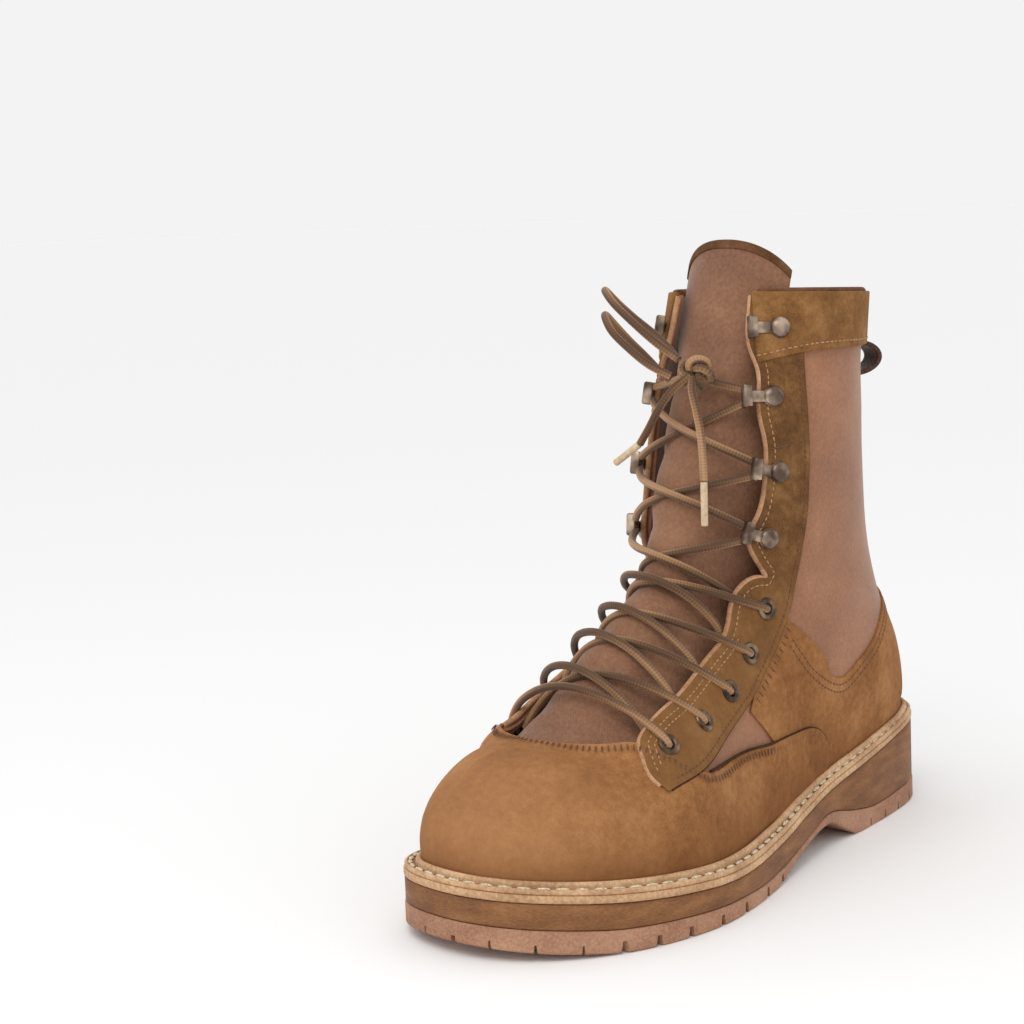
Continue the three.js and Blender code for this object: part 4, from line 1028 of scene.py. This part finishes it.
tongue_s, tongue_t = tongue_grid(150, 0, 1)
tongue_high = tongue_height(tongue_s, tongue_t)
tongue = sheet_piece("tongue_padded", tongue_s, tongue_t, tongue_high - TONGUE_THICK, tongue_high, bevel=0.9)
finish(tongue, TONGUE_NYLON, ["tongue"], edge=BINDING)
bind_s, bind_t = tongue_grid(8, 0.9945, 1.001)
bind_high = tongue_height(bind_s, bind_t)
binding = sheet_piece("tongue_binding", bind_s, bind_t, bind_high - TONGUE_THICK - 0.7, bind_high + 0.7,
                      bevel=0.7)
finish(binding, BINDING, edge=BINDING)


# %% [markdown]
# **Stitches.** Each row is many copies of one small bead of thread, joined in one mesh. A copy
# has 32 faces: on a stitch a few millimetres long, more would never be seen.

# %% Stitch rows
bpy.ops.mesh.primitive_uv_sphere_add(segments=8, ring_count=4, radius=1)
bead = bpy.context.active_object
bead_points = np.array([v.co for v in bead.data.vertices])
bead_faces = [list(p.vertices) for p in bead.data.polygons]
bpy.data.objects.remove(bead)


def beads(name, centres, along, normals, length, radius, material):
    """Copies of the bead, each lying along its own direction."""
    points, faces = [], []
    for centre, way, out in zip(centres, along, normals):
        way = way / np.linalg.norm(way)
        side = np.cross(out, way)
        side /= np.linalg.norm(side)
        frame_of = np.stack([np.cross(way, side) * radius * 0.7, side * radius, way * length / 2])
        local = bead_points @ frame_of
        faces += [[v + len(points) * len(bead_points) for v in face] for face in bead_faces]
        points.append(centre + local)
    made = new_piece(name, np.vstack(points), faces)
    face_outwards(made)
    smooth(made, 80)
    return finish(made, material)


def beside(line, distance):
    """A line of places moved sideways on the skin; to the right of its run when positive."""
    base = above(line[:, 0], line[:, 1])
    n = lookup(NORMAL, line[:, 0], line[:, 1])
    way = np.gradient(base, axis=0)
    side = np.cross(n, way)
    side /= np.maximum(np.linalg.norm(side, axis=1, keepdims=True), 1e-9)
    return locate(base + side * distance)


def stitch_row(name, line, height, pitch, length, radius, material, crosswise=False, sides=(1, -1)):
    """A row of stitches along a line of places, on both sides of the boot."""
    centres, ways, normals = [], [], []
    for side in sides:
        s, t = line[:, 0], line[:, 1] * side
        path = resample(np.hstack([above(s, t, height), lookup(NORMAL, s, t)]), 600)
        at = lengths(path[:, :3])
        stations = np.arange(pitch / 2, at[-1], pitch)
        here = np.stack([np.interp(stations, at, path[:, k]) for k in range(6)], 1)
        ahead = np.stack([np.interp(stations + 0.4, at, path[:, k]) for k in range(3)], 1)
        way = ahead - here[:, :3]
        way = np.where(np.linalg.norm(way, axis=1, keepdims=True) < 1e-6, np.roll(way, 1, 0), way)
        n = here[:, 3:] / np.linalg.norm(here[:, 3:], axis=1, keepdims=True)
        centres.append(here[:, :3])
        ways.append(np.cross(n, way) if crosswise else way)
        normals.append(n)
    made = beads(name, np.vstack(centres), np.vstack(ways), np.vstack(normals), length, radius, material)
    print(name, sum(map(len, centres)), "stitches")
    return made


half_vamp = trace(VAMP_TOP, 160)
stitch_row("stitch_vamp_edge", beside(half_vamp, 2.9), 1.9, 2.5, 3.0, 0.42, THREAD_BROWN, crosswise=True)
quarter_u = trace(QUARTER_TOP[4:], 140)
stitch_row("stitch_quarter_1", beside(quarter_u, -2.8), 1.0, 2.6, 2.2, 0.4, THREAD_BROWN)
stitch_row("stitch_quarter_2", beside(quarter_u, -6.0), 1.0, 2.6, 2.2, 0.4, THREAD_BROWN)
stitch_row("stitch_stay_front", beside(stay_front[6:-4], 3.2), 1.95, 2.6, 2.0, 0.36, THREAD_LIGHT)
stitch_row("stitch_stay_rear", beside(stay_rear[3:-4], -2.6), 1.95, 2.6, 2.0, 0.36, THREAD_BROWN)
low_stay = stay_front[(lookup(SKIN, stay_front[:, 0], stay_front[:, 1])[:, 1] < -6)]
stitch_row("stitch_stay_double", beside(low_stay[2:-6], 5.8), 1.95, 2.6, 2.0, 0.36, THREAD_LIGHT)
stitch_row("stitch_band", beside(band_low[:-2], 2.8), 2.65, 2.8, 2.2, 0.38, THREAD_LIGHT)
tick_part = stay_rear[(lookup(SKIN, stay_rear[:, 0], stay_rear[:, 1])[:, 2] < 103)
                      & (lookup(SKIN, stay_rear[:, 0], stay_rear[:, 1])[:, 1] > -6)]
stitch_row("stitch_stay_ticks", beside(tick_part, 3.6), 1.0, 3.4, 3.8, 0.42, THREAD_BROWN, crosswise=True)
seam = locate(shifted([(30.2, 21, 175.5), (33, 29, 176.5), (35, 38, 177.5)]))
stitch_row("stitch_stay_seam", seam, 1.95, 2.4, 2.0, 0.4, THREAD_BROWN)

# %% [markdown]
# ## The sole
# From the top down: a welt with a raised rib that hugs the upper, sewn through to a pale slip
# sole, a brown midsole, and a moulded outsole with an arch under the waist. Each layer is the
# sole's outline at several heights, so its edge can be rounded.

# %% Layers
def edge_loops(profile, steps=8):
    """Rings of points round the sole; a profile point gives an inset and a height by station."""
    loop = outline(steps)
    rings = []
    for width, height in profile:
        flat = inset(loop, width(loop[:, 1]))
        rings.append(np.column_stack([flat[:, 0] + CENTRE, flat[:, 1], height(flat[:, 1])]))
    return np.array(rings)


def layer(name, low, high, material, slot, replaces, width=lambda y: 0 * y, corner=0.5, steps=8):
    """A layer of the sole between two heights, with rounded edges."""
    profile = [(lambda y: width(y) + corner, low), (width, lambda y: low(y) + corner),
               (width, lambda y: high(y) - corner), (lambda y: width(y) + corner, high)]
    rings = edge_loops(profile, steps)
    count = rings.shape[1]
    faces = grid_faces(len(rings), count, closed=True)
    half = count // 2
    points = rings.reshape(-1, 3)
    for ring, turned in ((0, 1), (len(rings) - 1, -1)):
        base = ring * count
        for i in range(half):
            a, b, c, d = i, i + 1, (count - i - 1) % count, (count - i) % count
            face = list(dict.fromkeys([base + a, base + b, base + c, base + d]))
            if len(face) > 2:
                faces.append(tuple(face[::turned]))
    made = new_piece(name, points, faces)
    face_outwards(made)
    smooth(made, 50)
    return finish(made, material, replaces)


def slip_base(y):
    return sole_top(y) - slip_thick(y)


ARCH_Y, ARCH_Z = np.array(ARCH[1:-1], float).T


def tread_height(y):
    return np.maximum(ground(y), np.where((y > ARCH_Y[0]) & (y < ARCH_Y[-1]), np.interp(y, ARCH_Y, ARCH_Z),
                                          0))


layer("slip_edge", lambda y: slip_base(y) + 0.3, lambda y: sole_top(y), PALE_LEATHER, "pale_welting",
      ["slip_sole"])
layer("midsole_edge", lambda y: outsole_top(y) + 0.3, slip_base, MIDSOLE_EDGE, "midsole_leather", ["midsole"],
      width=lambda y: 0 * y + 0.3)
layer("insole_board", feather_height, lambda y: feather_height(y) + 3.5, INSOLE_LEATHER, "insole_leather",
      ["insole"],
      width=lambda y: welt_width(y) + 5.8)
rubber = layer("outsole_moulded", tread_height, outsole_top, OUTSOLE_RUBBER, "outsole_rubber", ["outsole"],
               corner=0.7,
               steps=6)


# %% [markdown]
# **The tread.** The side edges carry notches at the ball and fine cuts round the toe and heel,
# all narrower at the top. Each cutter is a cube; they are joined and taken away in one boolean.
# What the tread looks like underneath isn't known, so it gets plain grooves between the notches.

# %% Tread cuts
NOTCHES = [-113, -99, -84, -66, -48, -27, -10]
HEEL_CUTS = [83, 98, 113, 128]
TOE_CUTS = [-64, -42, -20, 0, 20, 42, 64]


def edge_half_width(y, side):
    y_at, outer, inner = np.array(OUTLINE[::-1], float).T
    return float(np.interp(y, y_at, outer if side > 0 else inner))


def cutter(size, place, angle=0.0):
    """A cube of some size in millimetres, turned about the vertical and moved to its place."""
    bpy.ops.mesh.primitive_cube_add(size=1)
    bpy.ops.object.mode_set(mode="EDIT")
    bpy.ops.mesh.select_all(action="SELECT")
    bpy.ops.transform.resize(value=tuple(c * MM for c in size), center_override=(0, 0, 0))
    if angle:
        bpy.ops.transform.rotate(value=-angle, orient_axis="Z", center_override=(0, 0, 0))
    bpy.ops.transform.translate(value=tuple(c * MM for c in place))
    bpy.ops.object.mode_set(mode="OBJECT")
    return bpy.context.active_object


def sole_cut(size, place, angle=0.0):
    """A cutter that narrows to a third of its width at the top."""
    made = cutter(size, (0, 0, 0))
    for vertex in made.data.vertices:
        if vertex.co.z > 0:
            vertex.co[0 if angle else 1] /= 3
    made.data.transform(Matrix.Translation(Vector((place[0] + CENTRE,
                                                   *place[1:])) * MM) @ Matrix.Rotation(angle, 4, "Z"))
    return made


cutters = []
for side in (1, -1):
    for y in NOTCHES:
        half = edge_half_width(y, side)
        cutters.append(sole_cut((19, 5, 9.2), (side * (half - 17 + 9.5 + 2), y, ground(y))))
    for y in HEEL_CUTS:
        half = edge_half_width(y, side)
        cutters.append(sole_cut((11, 2.2, 8), (side * (half - 9 + 5.5 + 2), y, 0)))
for y in NOTCHES[1:]:
    outer, inner = edge_half_width(y, 1), edge_half_width(y, -1)
    cutters.append(sole_cut((outer + inner - 44, 3, 5), ((outer - inner) / 2, y, ground(y))))
for y in HEEL_CUTS:
    cutters.append(sole_cut((edge_half_width(y, 1) * 2 - 26, 2.5, 4), (0, y, 0)))
toe_loop = outline(8)
for angle in TOE_CUTS:
    way = np.array([math.sin(math.radians(angle)), -math.cos(math.radians(angle))])
    reach = max(p @ way for p in toe_loop - (0, -106) if p[1] < 0 and abs(p @ (-way[1], way[0])) < 4)
    middle = np.array([0, -106]) + way * (reach - 9 + 6.5)
    low = ground(middle[1])
    cutters.append(sole_cut((2.2, 13, 7.2), (*middle, low), math.radians(angle)))
select_only(cutters[0])
for other in cutters:
    other.select_set(True)
bpy.ops.object.join()
all_cuts = bpy.context.active_object
apply_modifier(rubber, "BOOLEAN", object=all_cuts, operation="DIFFERENCE", solver="EXACT")
bpy.data.objects.remove(all_cuts)
smooth(rubber, 35)
print("outsole:", len(rubber.data.polygons), "faces")


# %% Welt
def rib(offset):
    return lambda y: welt_width(y) - offset


def over(height):
    return lambda y: sole_top(y) + height


GROOVE = 2.7
welt_profile = [
    (lambda y: 0 * y + 0.9, over(0.1)), (lambda y: 0 * y + 0.45, over(0.6)),
    (lambda y: 0 * y + 0.45, over(1.7)),
    (lambda y: 0 * y + 0.9, over(2.2)), (lambda y: 0 * y + GROOVE - 1.1, over(2.3)),
    (lambda y: 0 * y + GROOVE - 0.7, over(1.7)), (lambda y: 0 * y + GROOVE + 0.5, over(1.6)),
    (rib(4.3), over(1.7)),
    (rib(4.1), over(2.9)), (rib(3.7), over(3.8)), (rib(3.0), over(4.3)), (rib(2.2), over(4.2)),
    (rib(1.6), over(3.6)),
    (rib(1.3), over(2.8)), (rib(1.3), over(0.1)),
]
rings = edge_loops(welt_profile, 8)
welt = new_piece("welt_ribbed", rings.reshape(-1, 3),
                 grid_faces(len(rings), rings.shape[1], closed=True)
                 + [(i, (i + 1) % rings.shape[1],
                     (len(rings) - 1) * rings.shape[1] + (i + 1) % rings.shape[1],
                     (len(rings) - 1) * rings.shape[1] + i) for i in range(rings.shape[1])])
face_outwards(welt)
smooth(welt, 50)
finish(welt, PALE_LEATHER, ["welt"], edge=MIDSOLE_EDGE)
# The groove under the welt stitches takes the darker midsole brown as painted shade.
for k, face in enumerate(welt.data.polygons):
    if 4 <= k // rings.shape[1] <= 6:
        face.material_index = 1
track = inset(outline(8), 2.75)
track = np.column_stack([track[:, 0] + CENTRE, track[:, 1], sole_top(track[:, 1]) + 2.0])
track = resample(np.vstack([track, track[:1]]), 900)
track_at = lengths(track)
stations = np.arange(0, track_at[-1] - 3, 7.3)
here = np.stack([np.interp(stations, track_at, track[:, k]) for k in range(3)], 1)
ahead = np.stack([np.interp(stations + 0.6, track_at, track[:, k]) for k in range(3)], 1)
beads("stitch_welt", here, ahead - here, np.tile((0, 0, 1.0), (len(here), 1)), 5.9, 1.05, THREAD_CREAM)
print("welt stitches:", len(here))

# %% [markdown]
# ## Hardware
# An eyelet is a rolled ring with a barrel behind it; a speed hook is a domed rivet, a flat neck
# and a cross bar that keeps the lace in. One of each is modelled from primitives at the origin
# and copied to every station, turned to stand on the skin.

# %% Templates
def joined(parts):
    select_only(parts[0])
    for other in parts:
        other.select_set(True)
    bpy.ops.object.join()
    return bpy.context.active_object


def template(obj):
    """Points, faces of a template; the object is removed."""
    points = np.array([v.co for v in obj.data.vertices]) / MM
    faces = [list(p.vertices) for p in obj.data.polygons]
    bpy.data.objects.remove(obj)
    return points, faces


bpy.ops.mesh.primitive_torus_add(major_radius=3.55 * MM, minor_radius=1.15 * MM, major_segments=40,
                                 minor_segments=10)
flange = bpy.context.active_object
bpy.ops.object.mode_set(mode="EDIT")
bpy.ops.mesh.select_all(action="SELECT")
bpy.ops.transform.resize(value=(1, 1, 0.75), center_override=(0, 0, 0))
bpy.ops.object.mode_set(mode="OBJECT")
bpy.ops.mesh.primitive_cylinder_add(vertices=32, radius=2.7 * MM, depth=4.2 * MM, end_fill_type="NOTHING",
                                    location=(0, 0, -2.1 * MM))
barrel = bpy.context.active_object
bpy.ops.object.transform_apply(location=True)
apply_modifier(barrel, "SOLIDIFY", thickness=0.4 * MM, offset=-1)
EYELET_FORM = template(joined([flange, barrel]))

bpy.ops.mesh.primitive_cylinder_add(vertices=32, radius=4.6 * MM, depth=1.3 * MM, location=(0, 0, 0.65 * MM))
base = bpy.context.active_object
bpy.ops.object.transform_apply(location=True)
apply_modifier(base, "BEVEL", width=0.45 * MM, segments=3, limit_method="ANGLE")
bpy.ops.mesh.primitive_uv_sphere_add(segments=28, ring_count=14, radius=4.4 * MM)
dome = bpy.context.active_object
bpy.ops.object.mode_set(mode="EDIT")
bpy.ops.mesh.select_all(action="SELECT")
bpy.ops.transform.resize(value=(1, 1, 0.48), center_override=(0, 0, 0))
bpy.ops.transform.translate(value=(0, 0, 1.3 * MM))
bpy.ops.object.mode_set(mode="OBJECT")
neck = cutter((11, 4.8, 1.2), (7.4, 0, 0.75))
apply_modifier(neck, "BEVEL", width=0.4 * MM, segments=2)
bar = cutter((1.9, 9.8, 4.0), (13.4, 0, 2.2))
apply_modifier(bar, "BEVEL", width=0.8 * MM, segments=3)
lip = cutter((3.4, 8.8, 1.1), (12.3, 0, 3.8))
apply_modifier(lip, "BEVEL", width=0.45 * MM, segments=2)
HOOK_FORM = template(joined([base, dome, neck, bar, lip]))


# %% Placing
def stand(name, form, s, t, height, replaces, material):
    """A copy of a template on the skin, its z axis out and its x axis towards the throat."""
    points, faces = form
    base = above(s, t, height)
    out = lookup(NORMAL, s, t)
    out /= np.linalg.norm(out)
    ahead = above(s, t - np.sign(t) * 0.03) - above(s, t)
    ahead -= out * (ahead @ out)
    ahead /= np.linalg.norm(ahead)
    axes = np.stack([ahead, np.cross(out, ahead), out])
    made = new_piece(name, base + points @ axes, faces)
    smooth(made, 40)
    return finish(made, material, replaces)


for side, side_name in ((1, "lateral"), (-1, "medial")):
    for i, (s, t) in enumerate(eyelet_places, 1):
        stand(f"ring_{side_name}_{i}", EYELET_FORM, s, side * t, 2.2, [f"eyelet_{side_name}_{i}"],
              DARK_BRONZE)
    for i, (s, t) in enumerate(hook_places, 1):
        stand(f"speed_hook_{side_name}_{i}", HOOK_FORM, s, side * t, HEIGHTS["stay"],
              [f"hook_{side_name}_{i}"],
              BRONZE)

# %% [markdown]
# ## Laces
# The lace makes a bar across the lowest eyelets and then crosses eight times. At the eyelets it
# comes up from behind the throat's edge, crosses, and dives into the next hole; at the hooks it
# runs round the neck behind the cross bar.

# %% Crossings
OVER = 3.6  # height of the lace above the skin at an eyelet
UNDER, TUCK = -4.0, 5  # its height under the throat's edge, and how far from that edge it ends
HOOK_SPREAD, HOOK_REACH, HOOK_LIFT = 2.6, 11.4, 3.4  # its place at a hook: up or down, ahead, out
LACED_HOOKS = 3


def eyelet_at(side, row):
    s, t = eyelet_places[row]
    return s, side * t, OVER


def under_edge(side, row):
    s = eyelet_places[row][0]
    return s, side * (throat(s) + TUCK / length_at(s, side)), UNDER


def hook_end(side, row, up):
    x, y, z = HOOKS[row]
    s, t = locate(shifted([(x, y, z + up * HOOK_SPREAD)]))[0]
    return s, side * (t - HOOK_REACH / length_at(s, side)), HOOK_LIFT


def strand(name, start, end, lift, dive=(False, False), extra=None):
    """Points of a lace between two places, passing lift above the skin halfway."""
    f = np.linspace(0, 1, 9)
    s, t = (start[k] + (end[k] - start[k]) * f for k in (0, 1))
    heights = start[2] + (end[2] - start[2]) * f + (lift - (start[2] + end[2]) / 2) * (1 - (2 * f - 1) ** 2)
    points = above(s, t, heights)
    if dive[0]:
        points = np.vstack([above(*start[:2], -1.5), above(*start[:2], 2.0), points[1:]])
    if dive[1]:
        points = np.vstack([points[:-1], above(*end[:2], 2.0), above(*end[:2], -1.5)])
    if extra is not None:
        points = np.vstack([points, extra])
    return tube(name, points, LACE / 2, sides=14, step=1.2)[0]


def laced(name, strands, replaces):
    made = joined(strands)
    made.name = made.data.name = name
    return finish(made, LACE_BRAID, replaces)


laced("lace_bar_low", [strand("bar", eyelet_at(1, 0), eyelet_at(-1, 0), 2.6, (True, True))], ["lace_bar"])
rows = len(EYELETS) + LACED_HOOKS
for i in range(1, rows):
    pair = []
    for side, lift in ((1, -1.6), (-1, 1.7)):
        up_hole = i < len(EYELETS)
        start = eyelet_at(side, i) if up_hole else hook_end(side, i - len(EYELETS), -1)
        end = under_edge(-side, i - 1) if i <= len(EYELETS) else hook_end(-side, i - 1 - len(EYELETS), 1)
        pair.append(strand(f"strand_{i}_{side}", start, end, lift, (up_hole, False)))
    laced(f"lace_cross_{i}", pair, [f"lace_crossing_{i}"])
middle_row = float(locate(shifted([(0, KNOT[1] + 14, KNOT[2] - 4)]))[0, 0])
last = []
for side in (1, -1):
    last.append(strand(f"last_{side}", hook_end(side, LACED_HOOKS - 1, 1), (middle_row, 0.02 * side, 1.6),
                       1.0,
                       extra=shifted([(KNOT[0] - 2 + 3 * side, KNOT[1] + 2, KNOT[2] - 1)])))
laced("lace_cross_8", last, ["lace_crossing_8"])
for side, side_name in ((1, "lateral"), (-1, "medial")):
    for row in range(LACED_HOOKS):
        low_end, high_end = hook_end(side, row, -1), hook_end(side, row, 1)
        s, t = hook_places[row]
        neck_place = (s, side * (t - 10.4 / length_at(s, side)))
        turn_points = [above(*low_end[:2], 3.6), above(*neck_place, 4.1), above(*high_end[:2], 3.6)]
        bend, _ = tube(f"lace_turn_{side_name}_{row + 1}", turn_points, LACE / 2, step=1.0)
        finish(bend, LACE_BRAID)

# %% [markdown]
# **The pull loop** helps the heel in. It is a strip of webbing folded double, with both ends
# sewn under the collar band, standing out from the back.

# %% Pull loop
LOOP_X, LOOP_LOW, LOOP_HIGH, LOOP_OUT, LOOP_WIDE = 14, 199, 215, 14, 12
place_s, place_t = locate(shifted([(LOOP_X, 109, (LOOP_LOW + LOOP_HIGH) / 2)]))[0]
root = above(place_s, place_t, 0.6)
out = lookup(NORMAL, place_s, place_t) * (1, 1, 0)
out /= np.linalg.norm(out)
width_way = np.cross(out, (0, 0, 1))
angles = np.linspace(-math.pi / 2, math.pi / 2, 25)
tall = (LOOP_HIGH - LOOP_LOW) / 2
points, uv = [], []
for radius_off in (0, 2.2):
    for across in np.linspace(-LOOP_WIDE / 2, LOOP_WIDE / 2, 7):
        for angle in angles:
            reach = (LOOP_OUT - radius_off) * math.cos(angle) + (-1.2 if abs(angle) > 1.5 else 0)
            points.append(root + out * reach + width_way * across + (0, 0,
                                                                     (tall - radius_off) * math.sin(angle)))
            uv.append((across, angle * 12))
n = len(angles)
faces = []
for layer_index in (0, 1):
    for face in grid_faces(7, n):
        loop = [v + layer_index * 7 * n for v in face]
        faces.append(loop if layer_index == 0 else loop[::-1])
for row in (0, 6):
    for k in range(n - 1):
        a, b = row * n + k, row * n + k + 1
        faces.append([a, b, b + 7 * n, a + 7 * n])
for k in (0, n - 1):
    for row in range(6):
        a, b = row * n + k, (row + 1) * n + k
        faces.append([a, b, b + 7 * n, a + 7 * n])
strap = new_piece("heel_strap", points, faces, uv)
face_outwards(strap)
apply_modifier(strap, "BEVEL", width=0.4 * MM, segments=2, limit_method="ANGLE", angle_limit=math.radians(60))
smooth(strap, 40)
finish(strap, WEBBING, ["pull_loop"])

# %% [markdown]
# ## Light and floor
# A product on a pale floor, under one soft lamp above and in front of it and a weak, broad sun,
# so shadows are wide and soft. The world is a pale grey that gives most of the light.

# %% Floor, lights and view
def soft_light(name, power, size, place, aim_at=(0, 0, 0.12)):
    bpy.ops.object.light_add(type="AREA", location=place)
    lamp = bpy.context.active_object
    lamp.name = name
    lamp.data.shape = "DISK"
    lamp.data.size = size
    lamp.data.energy = power
    lamp.rotation_euler = (Vector(aim_at) - Vector(place)).to_track_quat("-Z", "Y").to_euler()
    return lamp


bpy.ops.object.select_all(action="DESELECT")
bpy.ops.mesh.primitive_plane_add(size=80)
floor = bpy.context.active_object
floor.name = "floor"
FLOOR_PAPER, _, _ = new_material("white_paper_floor", Base_Color=colour("#f8f8f8"), Roughness=0.95)
floor.data.materials.append(FLOOR_PAPER)
world = bpy.data.worlds.new("studio") if bpy.context.scene.world is None else bpy.context.scene.world
bpy.context.scene.world = world
world.use_nodes = True
sky = world.node_tree.nodes["Background"]
sky.inputs["Color"].default_value = colour("#f3f3f3")
sky.inputs["Strength"].default_value = 1.0
soft_light("key", 3, 0.6, (0.3, -0.7, 0.95))
bpy.ops.object.light_add(type="SUN", location=(0, 0, 2), rotation=(math.radians(38), math.radians(-14), 0))
sun = bpy.context.active_object
sun.name = "sun"
sun.data.energy = 0.24
sun.data.angle = math.radians(25)
view = bpy.context.scene.view_settings
view.view_transform = "Standard"
view.look = "None"
view.exposure = 0.0
